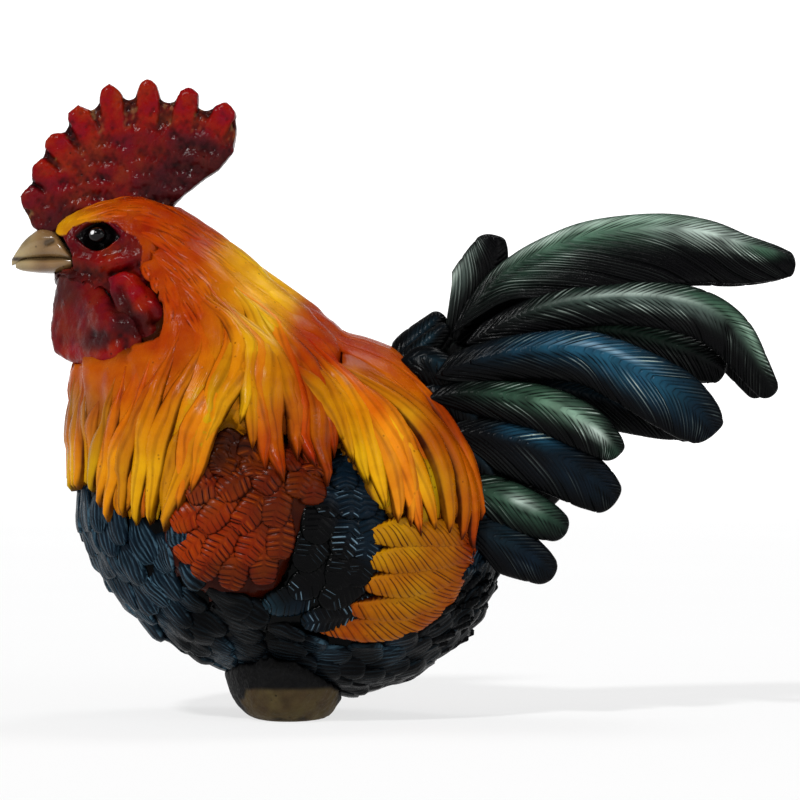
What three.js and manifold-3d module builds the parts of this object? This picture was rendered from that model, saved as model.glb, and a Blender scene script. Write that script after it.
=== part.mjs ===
// A hand-painted cast-resin rooster ornament, in millimetres.
// It has no legs and stands on one short stub under its belly.
// +Z is up, the rooster faces -X and its left side faces -Y.
// The origin is the middle of the stub's flat face.
import * as THREE from "three";
import { LoftGeometry } from "three/addons/geometries/LoftGeometry.js";
import { mergeVertices } from "three/addons/utils/BufferGeometryUtils.js";
import Module from "manifold-3d";

const wasm = await Module();
wasm.setup();

// Gap that the glue fills between two bonded castings
const GLUE_GAP = 0.3;

// Torso
const BODY_LENGTH = 87.5;
const BODY_HEIGHT = 74;
const BODY_WIDTH = 66;
const BREAST_FORWARD = 44; // breast, ahead of the stub's middle
const BELLY_RISE = 5; // lowest point of the belly, above the floor
const SCALE_LENGTH = 13; // one tuft of the breast's scales
const SCALE_WIDTH = 11;
const SCALE_HEIGHT = 1.3;

// Stub that it stands on
const STUB_LENGTH = 27;
const STUB_WIDTH = 40;
const STUB_AHEAD = 14.3; // stub's front, ahead of the origin
const STUB_IN_BELLY = 9; // how far it reaches past the belly's lowest point

// Neck cape, which runs from the head down over the shoulders
const CAPE_TOP_WIDTH = 25;
const CAPE_OVER_BODY = 1; // how far it stands proud of the shoulders
const LOCK_WIDTH = 9.4; // one lock of its feathers
const LOCK_HEIGHT = 1.4;

// Head
const HEAD_BEHIND_BREAST = 7; // head's middle, behind the breast
const HEAD_OVER_BACK = 15.5; // head's middle, above the top of the back
const HEAD_LENGTH = 29;
const HEAD_HEIGHT = 31;
const HEAD_WIDTH = 27;
const COMB_LENGTH = 45.4;
const COMB_HEIGHT = 33;
const COMB_THICKNESS = 5;
const COMB_BACK = 3.2; // comb's middle, behind the head's middle
const COMB_SEAT = 9.4; // how deep the comb's foot lies under the crown
const BEAK_LENGTH = 11.5;
const BEAK_HEIGHT = 9.8;
const BEAK_WIDTH = 10;
const BEAK_SEAT = 4.2; // how far the beak's root reaches into the head
const BEAK_BELOW = 1.4; // beak's lowest point, below the head's middle
const EYE_DIAMETER = 5.2;
const EYE_AHEAD = 2.8; // eye, ahead of the head's middle
const EYE_ABOVE = 6; // eye, above the head's middle
const EYE_DEPTH = 1.9; // how far an eye's middle lies under the face
const WATTLE_DROP = 21;
const WATTLE_LENGTH = 17;
const WATTLE_THICKNESS = 6.4;
const WATTLE_GAP = 3; // between the two wattles' front edges
const WATTLE_SLANT = 11; // how much further out a rear edge lies than a front edge
const WATTLE_BACK = 0.9; // wattle's front, behind the head's front
const WATTLE_BELOW = 0.5; // wattle's top, below the head's middle
const LOBE_DROP = 14;
const LOBE_LENGTH = 12.5;
const LOBE_THICKNESS = 5;
const LOBE_AHEAD = 0.6; // lobe's front, ahead of the head's middle
const LOBE_BELOW = 2; // lobe's top, below the head's middle
const LOBE_SUNK = 0.4; // lobe's root, inside the head's widest point
const LOBE_SPLAY = 1.6; // how far a lobe stands out from root to tip

// Saddle cape and wings
const SADDLE_THICKNESS = 2.6;
const COVERT_THICKNESS = 3.4;
const PETAL_WIDTH = 8.6; // one of the small round feathers on the coverts
const PETAL_HEIGHT = 1.1;
const WING_BAR_THICKNESS = 2.6;
const PRIMARY_WIDTH = 5.8;
const PRIMARY_THICKNESS = 3;

// Tail
const TAIL_LENGTH = 61.8; // from the body's rear end to the tip of the longest feather
const TAIL_RISE = 55.8; // from the body's middle to the top of the longest feather's middle
const TAIL_SPREAD = 32; // across the two blue feathers' middles
const TAIL_CORE_THICKNESS = 9;

// Steel pins that carry the overhanging castings
const PIN_DIAMETER = 4;
const PIN_LENGTH = 24;
const PIN_CLEARANCE = 0.15;

// Fineness of the faceted surfaces
const TORSO_STEPS = 16;
const TORSO_SIDES = 24;
const BLADE_STEPS = 8;

const paint = (color, roughness = 0.4) =>
  new THREE.MeshStandardMaterial({ color, roughness, metalness: 0 });
const BLACK = paint(0x0c1216);
const ORANGE = paint(0xe06a10);
const GOLD = paint(0xe89a12);
const RUST = paint(0xb8400f);
const NAVY = paint(0x14303f);
const GREEN = paint(0x35583f);
const CRIMSON = paint(0x8c141a, 0.35);
const HORN = paint(0xa98a5a, 0.3);
const EYE_BLACK = paint(0x050505, 0.08);
const BARE_RESIN = paint(0x5a5038, 0.85);
const STEEL = new THREE.MeshStandardMaterial({ color: 0xb8bcc0, roughness: 0.35, metalness: 1 });

// Rows of numbers as a smooth line: the row at share t of the way, by Catmull-Rom
function along(rows, t) {
  const last = rows.length - 1;
  const place = THREE.MathUtils.clamp(t, 0, 1) * last;
  const i = Math.min(Math.floor(place), last - 1);
  const f = place - i;
  const row = (k) => rows[THREE.MathUtils.clamp(k, 0, last)];
  const [a, b, c, d] = [row(i - 1), row(i), row(i + 1), row(i + 2)];
  return b.map((_, n) => {
    const bend = 2 * a[n] - 5 * b[n] + 4 * c[n] - d[n];
    const twist = 3 * (b[n] - c[n]) + d[n] - a[n];
    return b[n] + 0.5 * f * (c[n] - a[n] + f * (bend + f * twist));
  });
}

// A drawing's columns moved and stretched so that they run from one value to another,
// or only stretched, up to a value
function fitted(rows, columnGroups) {
  const made = rows.map((row) => [...row]);
  for (const { columns, from, to } of columnGroups) {
    const all = rows.flatMap((row) => columns.map((c) => row[c]));
    const low = from === undefined ? 0 : Math.min(...all);
    const high = Math.max(...all);
    const start = from ?? 0;
    for (const row of made)
      for (const c of columns) row[c] = start + ((row[c] - low) / (high - low)) * (to - start);
  }
  return made;
}

// A closed geometry as a solid whose faces point out
function solidOf(geometry) {
  const bare = new THREE.BufferGeometry();
  bare.setAttribute("position", geometry.attributes.position);
  bare.setIndex(geometry.index);
  const merged = mergeVertices(bare, 1e-4);
  const triVerts = new Uint32Array(merged.index.array);
  const vertProperties = merged.attributes.position.array;
  const solid = new wasm.Manifold(new wasm.Mesh({ numProp: 3, vertProperties, triVerts }));
  if (solid.volume() > 0) return solid;
  for (let i = 0; i < triVerts.length; i += 3)
    [triVerts[i + 1], triVerts[i + 2]] = [triVerts[i + 2], triVerts[i + 1]];
  return new wasm.Manifold(new wasm.Mesh({ numProp: 3, vertProperties, triVerts }));
}

// The largest body that is left of a solid after tools are cut from it
function cut(solid, ...tools) {
  const rest = tools.flat().reduce((left, tool) => left.subtract(tool), solid);
  return rest.decompose().reduce((a, b) => (a.volume() >= b.volume() ? a : b));
}

const mirrored = (solid) => solid.mirror([0, 1, 0]);
const joined = (solids) => wasm.Manifold.union(solids);

function geometryOf(solid) {
  const { numVert, numProp, vertProperties, triVerts } = solid.getMesh();
  const places = new Float32Array(numVert * 3);
  for (let i = 0; i < numVert; i++)
    places.set(vertProperties.subarray(i * numProp, i * numProp + 3), i * 3);
  const geometry = new THREE.BufferGeometry();
  geometry.setAttribute("position", new THREE.BufferAttribute(places, 3));
  geometry.setIndex(new THREE.BufferAttribute(triVerts, 1));
  return geometry;
}

// The outside of a solid as seen from a hub inside it: moves a point along its
// direction from the hub until it lies that far outside the solid
function outsideOf(solid, hub) {
  const mesh = new THREE.Mesh(geometryOf(solid));
  mesh.material.side = THREE.DoubleSide;
  const ray = new THREE.Raycaster();
  const place = (point, out) => {
    const way = point.clone().sub(hub).normalize();
    ray.set(hub, way);
    const outermost = ray.intersectObject(mesh).at(-1);
    return hub.clone().addScaledVector(way, outermost.distance + out);
  };
  return { hub, place };
}

// The side view that all outlines below are drawn in. The torso in it, as upright
// slices: x, lowest z, highest z, half width
const TORSO_DRAWN = [
  [-44, 43.5, 49.5, 4],
  [-42.4, 36.5, 57, 13.5],
  [-37.5, 27.5, 65.5, 22],
  [-29, 18.5, 72, 28.5],
  [-19, 12, 76.5, 32],
  [-7, 8, 79, 33],
  [5, 5, 79, 32.4],
  [15, 5, 77.5, 30],
  [25, 8.5, 73, 26],
  [33, 14.5, 65, 20.5],
  [39.5, 21.5, 54.5, 13.5],
  [43.5, 29, 45, 5],
];

// Lowest and highest value in some of a drawing's columns
function span(rows, columns) {
  const all = rows.flatMap((row) => columns.map((c) => row[c]));
  return { low: Math.min(...all), high: Math.max(...all) };
}

// A function that moves and stretches values as it takes one span to another
const stretch = ({ low, high }, from, to) => (v) => from + ((v - low) / (high - low)) * (to - from);

// Each place of the drawing on the real body
const bodyRear = BODY_LENGTH - BREAST_FORWARD;
const bodyX = stretch(span(TORSO_DRAWN, [0]), -BREAST_FORWARD, bodyRear);
const bodyZ = stretch(span(TORSO_DRAWN, [1, 2]), BELLY_RISE, BELLY_RISE + BODY_HEIGHT);
const bodyOut = stretch({ low: 0, high: span(TORSO_DRAWN, [3]).high }, 0, BODY_WIDTH / 2);
const bodyMiddle = BELLY_RISE + BODY_HEIGHT / 2;
const onBody = (points) => points.map(([x, z]) => [bodyX(x), bodyZ(z)]);

const middleOf = (ring) =>
  ring.reduce((sum, point) => sum.add(point), new THREE.Vector3()).divideScalar(ring.length);

// A closed surface through rings of points, each ring turned so that its faces point out
function skin(rings) {
  const first = middleOf(rings[0]);
  const turn = new THREE.Vector3();
  rings[0].forEach((point, k, ring) => {
    const next = ring[(k + 1) % ring.length].clone().sub(first);
    turn.add(point.clone().sub(first).cross(next));
  });
  const ahead = middleOf(rings.at(-1)).sub(first);
  const sections = turn.dot(ahead) < 0 ? rings.map((ring) => ring.toReversed()) : rings;
  return solidOf(new LoftGeometry(sections, { capStart: true, capEnd: true }));
}

// A rounded mass through ribs. Each rib is x and z of two opposite points in the
// rooster's middle plane, half the width there, how far it lies to the left, and how
// much further to the left its second point lies.
function ribbed(ribs, steps, sides, grow = 0) {
  const sections = [];
  for (let j = 0; j <= steps; j++) {
    const [x1, z1, x2, z2, half, left = 0, slant = 0] = along(ribs, j / steps);
    const centre = new THREE.Vector3((x1 + x2) / 2, -left, (z1 + z2) / 2);
    const reach = new THREE.Vector3((x2 - x1) / 2, -slant, (z2 - z1) / 2);
    reach.setLength(reach.length() + grow);
    const ring = [];
    for (let k = 0; k < sides; k++) {
      const angle = (2 * Math.PI * k) / sides;
      const point = centre.clone().addScaledVector(reach, Math.cos(angle));
      point.y += (half + grow) * Math.sin(angle);
      ring.push(point);
    }
    sections.push(ring);
  }
  if (grow) {
    const middle = (ring) => ring[0].clone().add(ring[sides / 2]).multiplyScalar(0.5);
    const start = middle(sections[0]).sub(middle(sections[1])).setLength(grow);
    const end = middle(sections[steps]).sub(middle(sections[steps - 1])).setLength(grow);
    sections[0].forEach((point) => point.add(start));
    sections[steps].forEach((point) => point.add(end));
  }
  return skin(sections);
}

const TORSO = TORSO_DRAWN.map(([x, bottom, top, half]) => [
  bodyX(x),
  bodyZ(bottom),
  bodyZ(top),
  bodyOut(half),
]);

function torsoSlice(x) {
  let low = 0;
  let high = 1;
  for (let i = 0; i < 30; i++) {
    const middle = (low + high) / 2;
    if (along(TORSO, middle)[0] < x) low = middle;
    else high = middle;
  }
  const [, bottom, top, half] = along(TORSO, low);
  return { centre: (bottom + top) / 2, rise: (top - bottom) / 2, half };
}

// How far the torso's side lies from the middle plane at x, z, and how it leans there
function torsoSide(x, z) {
  const { centre, rise, half } = torsoSlice(x);
  const up = THREE.MathUtils.clamp((z - centre) / rise, -0.97, 0.97);
  const out = half * Math.sqrt(1 - up * up);
  const lean = THREE.MathUtils.radToDeg(Math.atan2(up / rise, out / (half * half)));
  return { out, lean };
}

const torsoRibs = TORSO.map(([x, bottom, top, half]) => [x, bottom, x, top, half]);
const torsoGrown = (grow) => ribbed(torsoRibs, TORSO_STEPS, TORSO_SIDES, grow);

// A lock, scale or petal raised on a surface. Rows: share of its length, share of its width,
// share of its height. Across: share of the half width, share of the height.
const RELIEF = [
  [0, 0.5, 0.05],
  [0.5, 1, 0.75],
  [0.86, 0.8, 1],
  [1, 0.12, 0.2],
];
const RELIEF_ACROSS = [
  [-1, 0],
  [-0.5, 1],
  [0.5, 1],
  [1, 0],
];
const RELIEF_EDGE = 0.4; // how deep its edges lie in the surface
const RELIEF_ROOT = 2; // how deep its underside lies in the surface

function relief({ hub, place }, points, width, height, grow = 0) {
  const rows = points.map((point) => point.toArray());
  const spot = (t) => new THREE.Vector3(...along(rows, t));
  const rings = RELIEF.map(([share, wide, high], i) => {
    const centre = spot(share);
    const forward = spot(share + 0.03).sub(spot(share - 0.03)).normalize();
    const outward = centre.clone().sub(hub);
    const across = new THREE.Vector3().crossVectors(forward, outward).normalize();
    if (i === 0) centre.addScaledVector(forward, -grow);
    if (i === RELIEF.length - 1) centre.addScaledVector(forward, grow);
    const reach = (width / 2) * wide + grow;
    const top = RELIEF_ACROSS.map(([side, up]) =>
      place(
        centre.clone().addScaledVector(across, side * reach),
        up * (high * height + RELIEF_EDGE) - RELIEF_EDGE + grow,
      ),
    );
    return [...top, place(centre, -RELIEF_ROOT)];
  });
  return skin(rings);
}

// Tufts of scales on breast, belly and vent, in columns from front to rear: x, how many
// to each side of the middle, distance from the middle to the first, all along the skin
const SCALE_COLUMNS = [
  [-42, 1, 5.5],
  [-37, 3, 0],
  [-30.5, 3, 5.5],
  [-22, 3, 11],
  [14, 2, 5.5],
  [22, 3, 0],
  [30, 2, 5.5],
  [36.5, 2, 0],
].map(([x, count, first]) => [bodyX(x), count, first]);

// A place on the torso's lower half, at a distance from the middle along the skin
function underTorso(x, away) {
  const { centre, rise, half } = torsoSlice(x);
  const angle = away / ((half + rise) / 2);
  return new THREE.Vector3(x, -half * Math.sin(angle), centre - rise * Math.cos(angle));
}

const torsoOutside = outsideOf(torsoGrown(0), new THREE.Vector3(0, 0, bodyMiddle));
function scales(grow) {
  const made = [];
  for (const [x, count, first] of SCALE_COLUMNS)
    for (let k = 0; k < count; k++) {
      const away = first + k * SCALE_WIDTH;
      const middle = underTorso(x, away);
      const ahead = underTorso(x + 1, away).sub(underTorso(x - 1, away)).normalize();
      const points = [-0.5, 0, 0.5].map((share) =>
        middle.clone().addScaledVector(ahead, share * SCALE_LENGTH),
      );
      const scale = relief(torsoOutside, points, SCALE_WIDTH, SCALE_HEIGHT, grow);
      made.push(scale, mirrored(scale));
    }
  return joined(made);
}
const torsoRoom = joined([torsoGrown(GLUE_GAP), scales(GLUE_GAP)]);

// A blade, such as one feather. Each row of its path is x, distance from the
// middle plane, z, half width, thickness, and how far its face leans up, in degrees.
const BLADE_SECTION = [
  [-1, 0],
  [-0.4, 0.5],
  [0.4, 0.5],
  [1, 0],
  [0.4, -0.5],
  [-0.4, -0.5],
];

function blade(path, grow = 0, steps = BLADE_STEPS) {
  const spot = (t) => {
    const [x, out, z] = along(path, t);
    return new THREE.Vector3(x, -out, z);
  };
  const sections = [];
  for (let j = 0; j <= steps; j++) {
    const t = j / steps;
    const [, , , half, thick, lean] = along(path, t);
    const forward = spot(t + 0.01).sub(spot(t - 0.01)).normalize();
    const tilt = THREE.MathUtils.degToRad(lean);
    const face = new THREE.Vector3(0, -Math.cos(tilt), Math.sin(tilt));
    const across = new THREE.Vector3().crossVectors(forward, face).normalize();
    face.crossVectors(across, forward);
    const centre = spot(t);
    if (j === 0) centre.addScaledVector(forward, -grow);
    if (j === steps) centre.addScaledVector(forward, grow);
    sections.push(
      BLADE_SECTION.map(([s, h]) =>
        centre
          .clone()
          .addScaledVector(across, s * (half + grow))
          .addScaledVector(face, h * (thick + 2 * grow)),
      ),
    );
  }
  return skin(sections);
}

// A pad that lies on the torso's left side, inside an outline of x, z points.
// Its root lies inside the torso and is cut off there.
const PAD_ROOT = 8;
function pad(outline, thick, grow = 0) {
  const middle = [0, 1].map((c) => outline.reduce((sum, p) => sum + p[c] / outline.length, 0));
  const count = outline.length * 2;
  const closed = [...outline, outline[0]];
  const levels = [
    [1, 0.25],
    [0.9, 0.7],
    [0.6, 1],
    [0.1, 1],
  ];
  const rings = levels.map(([share, height]) => {
    const ring = [];
    for (let k = 0; k < count; k++) {
      const [edgeX, edgeZ] = along(closed, k / count);
      const reach = new THREE.Vector2(edgeX - middle[0], edgeZ - middle[1]);
      reach.setLength(reach.length() * share + (share === 1 ? grow : 0));
      const x = middle[0] + reach.x;
      const z = middle[1] + reach.y;
      ring.push(new THREE.Vector3(x, -torsoSide(x, z).out - height * thick - grow, z));
    }
    return ring;
  });
  const root = rings[0].map(({ x, z }) => new THREE.Vector3(x, -PAD_ROOT, z));
  return skin([root, ...rings]);
}

// A straight steel pin, or the hole for it, from one end along a direction
function pin(start, direction, clearance = 0) {
  const radius = PIN_DIAMETER / 2 + clearance;
  const body = new THREE.CylinderGeometry(radius, radius, PIN_LENGTH + 2 * clearance, 12);
  const way = new THREE.Vector3(...direction).normalize();
  body.applyQuaternion(new THREE.Quaternion().setFromUnitVectors(new THREE.Vector3(0, 1, 0), way));
  const middle = new THREE.Vector3(...start).addScaledVector(way, PIN_LENGTH / 2);
  body.translate(middle.x, middle.y, middle.z);
  return solidOf(body);
}

// Both sides of a piece that is modelled on the left
const pair = (solid) => ({ left: solid, right: mirrored(solid) });

// Head, drawn as ribs from the beak's root to the nape
const HEAD_DRAWN = [
  [-51.4, 95, -51.6, 100, 3],
  [-50.4, 91, -50.2, 102.6, 6.4],
  [-47, 86, -45.6, 106, 9.8],
  [-43, 81, -39.5, 108.3, 12],
  [-38.5, 79, -33, 109.3, 13.3],
  [-33, 80, -27, 108.4, 13.5],
  [-27.5, 86, -23.5, 104, 11],
  [-23.6, 93, -22.4, 99, 4],
];
const headMiddleX = -BREAST_FORWARD + HEAD_BEHIND_BREAST;
const headMiddleZ = BELLY_RISE + BODY_HEIGHT + HEAD_OVER_BACK;
const headFront = headMiddleX - HEAD_LENGTH / 2;
const headTop = headMiddleZ + HEAD_HEIGHT / 2;
const headX = stretch(span(HEAD_DRAWN, [0, 2]), headFront, headFront + HEAD_LENGTH);
const headZ = stretch(span(HEAD_DRAWN, [1, 3]), headTop - HEAD_HEIGHT, headTop);
const headOut = stretch({ low: 0, high: span(HEAD_DRAWN, [4]).high }, 0, HEAD_WIDTH / 2);
const HEAD = HEAD_DRAWN.map(([x1, z1, x2, z2, half]) => [
  headX(x1),
  headZ(z1),
  headX(x2),
  headZ(z2),
  headOut(half),
]);
const headGrown = (grow) => ribbed(HEAD, 8, 16, grow);

// Where the head's side lies at x, z, found on its own ribs as an egg
function headSide(x, z) {
  const up = (z - headMiddleZ) / (HEAD_HEIGHT / 2);
  const ahead = (x - headMiddleX) / (HEAD_LENGTH / 2);
  return (HEAD_WIDTH / 2) * Math.sqrt(Math.max(0.05, 1 - up * up * 0.9 - ahead * ahead * 0.85));
}

// The comb's outline over the beak and round its eight points, from front to back
const COMB = fitted(
  [
    [-54, 102.6], [-56, 106], [-56.5, 109], [-54.9, 111], [-54.1, 113], [-54, 115.4], [-52.7, 116.4],
    [-51.9, 118], [-51.3, 120.6], [-49.9, 122], [-47.8, 122.3], [-46.8, 124], [-46.5, 126.5],
    [-44.5, 128], [-42.8, 127.3], [-41.4, 127.4], [-40.2, 129], [-39.6, 131.4], [-38, 132.5],
    [-36.3, 131.4], [-34.7, 129.6], [-33.2, 129.5], [-32.2, 131], [-31.4, 132.9], [-29.8, 133.6],
    [-28.4, 132.5], [-27.3, 129.7], [-25.9, 128.9], [-24.1, 129.2], [-22.9, 131.2], [-21.2, 131.9],
    [-19.5, 130.5], [-19.3, 127.8], [-17.9, 127.1], [-15.4, 128.2], [-13.4, 128.7], [-11.6, 126.6],
    [-11.1, 123.5], [-12, 118.5], [-15, 114.8], [-19.6, 111.6], [-23.5, 108.4], [-27, 105.8],
    [-34, 105.4], [-41, 104.4], [-47, 101.6], [-51, 100.6],
  ],
  [
    { columns: [0], from: -COMB_LENGTH / 2, to: COMB_LENGTH / 2 },
    { columns: [1], from: 0, to: COMB_HEIGHT },
  ],
);

// A flat plate in the middle plane, with rounded edges
function plate(outline, thickness, round, curve, grow = 0) {
  const shape = new THREE.Shape(outline.map(([x, z]) => new THREE.Vector2(x, z)));
  const body = new THREE.ExtrudeGeometry(shape, {
    depth: thickness - 2 * round,
    bevelThickness: round + grow,
    bevelSize: round + grow,
    bevelOffset: -round,
    bevelSegments: curve,
    steps: 1,
  });
  body.translate(0, 0, round - thickness / 2);
  body.rotateX(Math.PI / 2);
  return solidOf(body);
}
const combAt = [headMiddleX + COMB_BACK, 0, headTop - COMB_SEAT];
const combGrown = (grow) => plate(COMB, COMB_THICKNESS, 1, 2, grow).translate(combAt);

// Beak halves, from the face to the tip
const beakTip = headFront + BEAK_SEAT - BEAK_LENGTH;
const beakFoot = headMiddleZ - BEAK_BELOW;
const BEAK_FIT = [
  { columns: [0, 2], from: beakTip, to: beakTip + BEAK_LENGTH },
  { columns: [1, 3], from: beakFoot, to: beakFoot + BEAK_HEIGHT },
  { columns: [4], to: BEAK_WIDTH / 2 },
];
const BEAK_DRAWN = [
  [-47.6, 95.1, -47.4, 103, 5],
  [-50.8, 95.9, -50.8, 103, 4.6],
  [-53.6, 96.1, -54, 101.5, 3.6],
  [-56, 95.8, -56.6, 99.2, 2.4],
  [-57.9, 95, -58.3, 96.8, 1.3],
  [-58.7, 94.4, -58.9, 95.2, 0.6],
];
const JAW_DRAWN = [
  [-47.4, 93.2, -47.4, 94.6, 4.4],
  [-51, 93.2, -51, 95.3, 4],
  [-54, 93.3, -54, 95.5, 2.9],
  [-56.4, 93.5, -56.4, 95.2, 1.9],
  [-57.8, 93.8, -57.8, 94.5, 0.6],
];
const beakDrawing = fitted([...BEAK_DRAWN, ...JAW_DRAWN], BEAK_FIT);
const beakUpper = (grow) => ribbed(beakDrawing.slice(0, BEAK_DRAWN.length), 8, 12, grow);
const beakLower = (grow) => ribbed(beakDrawing.slice(BEAK_DRAWN.length), 6, 10, grow);

// Wattle and ear lobe of the left side, from the root down
const wattleOut = (WATTLE_GAP + WATTLE_SLANT) / 2;
const wattleFront = headFront + WATTLE_BACK;
const wattleTop = headMiddleZ - WATTLE_BELOW;
const wattleRibs = fitted(
  [
    [-48, 94, -40, 93, 1.6, 2],
    [-49.4, 90, -38, 88.5, 2.3, 3.2],
    [-50, 86, -36.5, 84.2, 2.6, 4.4],
    [-50.6, 82, -34.9, 80.4, 3, 5.4],
    [-50.2, 78, -34.2, 77, 3.2, 5.5],
    [-48.2, 74.8, -36, 74.4, 2.8, 4.6],
    [-44.5, 72.8, -39.8, 72.6, 1.4, 2],
  ],
  [
    { columns: [0, 2], from: wattleFront, to: wattleFront + WATTLE_LENGTH },
    { columns: [1, 3], from: wattleTop - WATTLE_DROP, to: wattleTop },
    { columns: [4], to: WATTLE_THICKNESS / 2 },
    { columns: [5], to: WATTLE_SLANT / 2 },
  ],
).map(([x1, z1, x2, z2, half, slant]) => [x1, z1, x2, z2, half, wattleOut, slant]);
const wattleGrown = (grow) => ribbed(wattleRibs, 7, 12, grow);

const lobeOut = HEAD_WIDTH / 2 - LOBE_SUNK;
const lobeFront = headMiddleX - LOBE_AHEAD;
const lobeTop = headMiddleZ - LOBE_BELOW;
const lobeRibs = fitted(
  [
    [-37.4, 92, -32, 92.4, 1, 13.1],
    [-36.9, 89, -29.2, 89.5, 1.8, 13.7],
    [-35.9, 85.7, -26.7, 86, 2.5, 14.3],
    [-34.7, 82.2, -27.6, 82.6, 2.5, 14.7],
    [-33.2, 79.4, -30, 79.2, 1.2, 14.7],
  ],
  [
    { columns: [0, 2], from: lobeFront, to: lobeFront + LOBE_LENGTH },
    { columns: [1, 3], from: lobeTop - LOBE_DROP, to: lobeTop },
    { columns: [4], to: LOBE_THICKNESS / 2 },
    { columns: [5], from: lobeOut, to: lobeOut + LOBE_SPLAY },
  ],
);
const lobeGrown = (grow) => ribbed(lobeRibs, 5, 10, grow);

const eyeX = headMiddleX - EYE_AHEAD;
const eyeZ = headMiddleZ + EYE_ABOVE;
function eyeGrown(grow) {
  const ball = new THREE.SphereGeometry(EYE_DIAMETER / 2 + grow, 12, 8);
  ball.translate(eyeX, -headSide(eyeX, eyeZ) + EYE_DEPTH, eyeZ);
  return solidOf(ball);
}

// Neck cape: front and back points and half width, first on the head, then on the body
const capeTop = CAPE_TOP_WIDTH / 2;
const capeHalf = BODY_WIDTH / 2 + CAPE_OVER_BODY;
const CAPE_AT_HEAD = [
  [-43.5, 87.5, -24.7, 107.1, 1],
  [-45.4, 80, -17.2, 102.7, 1.2],
].map(([x1, z1, x2, z2, share]) => [headX(x1), headZ(z1), headX(x2), headZ(z2), share * capeTop]);
const CAPE_ON_BODY = [
  [-45.8, 72.4, -9.6, 97.2, 0.58],
  [-45.8, 64.2, -2.2, 90.6, 0.74],
  [-45, 57, 6.6, 84, 0.9],
  [-43.4, 47, 14, 78, 1],
  [-39, 40, 17, 69, 1],
].map(([x1, z1, x2, z2, share]) => [bodyX(x1), bodyZ(z1), bodyX(x2), bodyZ(z2), share * capeHalf]);
const NECK = [...CAPE_AT_HEAD, ...CAPE_ON_BODY];
const neckGrown = (grow) => ribbed(NECK, 9, 22, grow);

// Tiers of locks round the neck, from the head down: how many, whether the first one is
// set off by half a step, where they start and end as shares of the cape's length
const LOCK_TIERS = [
  [12, 0.5, 0.16, 0.46],
  [18, 0, 0.36, 0.68],
  [22, 0.5, 0.55, 0.86],
  [24, 0, 0.74, 1],
];
const FRINGE_TIER = LOCK_TIERS.at(-1);
const LOCK_SWEEP = 0.12; // radians that a lock turns towards the breast on its way
// How much further down each lock of the last tier ends, from the nape to the breast
const FRINGE = [-0.12, -0.1, -0.06, 0.02, 0.06, 0.02, 0, -0.03, 0.06, 0.1, 0.05, -0.03, -0.05];

// A place on the cape, at a share of its length and an angle from the nape. Past its end
// the cape runs straight on.
function onCape(t, angle) {
  const spot = (share) => {
    const [x1, z1, x2, z2, half] = along(NECK, share);
    const back = Math.cos(angle) / 2;
    const x = (x1 + x2) / 2 + (x2 - x1) * back;
    const z = (z1 + z2) / 2 + (z2 - z1) * back;
    return new THREE.Vector3(x, half * Math.sin(angle), z);
  };
  const end = spot(t);
  if (t > 1) end.addScaledVector(end.clone().sub(spot(0.9)), (t - 1) / 0.1);
  return end;
}

const shoulders = outsideOf(
  joined([neckGrown(0), torsoGrown(0)]),
  new THREE.Vector3(bodyX(-16), 0, bodyZ(64)),
);
function locks() {
  const made = [];
  for (const tier of LOCK_TIERS) {
    const [count, offset, start, end] = tier;
    for (let k = 0; k < count; k++) {
      const angle = ((k + offset) / count) * 2 * Math.PI;
      const fromNape = Math.min(k + offset, count - k - offset);
      const last = tier === FRINGE_TIER ? end + FRINGE[fromNape] : end;
      const turn = LOCK_SWEEP * Math.sin(angle);
      const points = [0, 0.5, 1].map((share) =>
        onCape(start + share * (last - start), angle + share * turn),
      );
      made.push(relief(shoulders, points, LOCK_WIDTH, LOCK_HEIGHT));
    }
  }
  return joined(made);
}

// Saddle cape over the back: x, its lower edge's z, how proud it stands there
const SADDLE = [
  [-6, 70, 0.6],
  [2, 60.5, 0.9],
  [10, 52.5, 1],
  [18, 44.5, 1],
  [25, 39, 1],
  [31, 37.5, 1],
  [35.5, 39.5, 0.9],
  [39, 44.5, 0.6],
].map(([x, edge, share]) => [bodyX(x), bodyZ(edge), share]);

const SADDLE_SUNK = 2; // its underside, inside the torso, where it is cut off

// The saddle's ring at one place, over the back and returning inside the torso
function saddleRing([x, edge, share], shift, grow) {
  const { centre, rise, half } = torsoSlice(x);
  const lowest = Math.asin(THREE.MathUtils.clamp((edge - grow - centre) / rise, -0.95, 0.95));
  const height = share * SADDLE_THICKNESS + grow;
  const over = [];
  const under = [];
  for (let k = -7; k <= 7; k++) {
    const angle = Math.PI / 2 + (k / 7) * (Math.PI / 2 - lowest);
    const spot = (out) =>
      new THREE.Vector3(
        x + shift,
        -(half + out) * Math.cos(angle),
        centre + (rise + out) * Math.sin(angle),
      );
    over.push(spot(height * (1 - 0.5 * (k / 7) ** 6)));
    under.unshift(spot(-SADDLE_SUNK));
  }
  return [...over, ...under];
}

function saddleGrown(grow) {
  const steps = 8;
  const rings = [];
  for (let j = 0; j <= steps; j++) {
    const shift = j === 0 ? -grow : j === steps ? grow : 0;
    rings.push(saddleRing(along(SADDLE, j / steps), shift, grow));
  }
  return skin(rings);
}

// Wing pads of the left side, as outlines of x, z points
const COVERTS = onBody([
  [-26, 50], [-25.2, 41], [-24.6, 33.5], [-19.5, 26.8], [-11, 24.6], [-2.6, 26.6], [0.8, 32.8],
  [4, 39], [8.2, 45.4], [9, 53.8], [1.9, 58], [-10.7, 59], [-20.5, 56.5],
]);
const WING_BAR = onBody([
  [9.9, 54], [15.2, 48.4], [19.5, 42.8], [17, 35.5], [13, 25], [7.4, 21.2], [-1.3, 18.4],
  [-9.8, 20.4], [-16, 24.8], [-10, 34], [-1, 46], [4.5, 52.5],
]);

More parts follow.
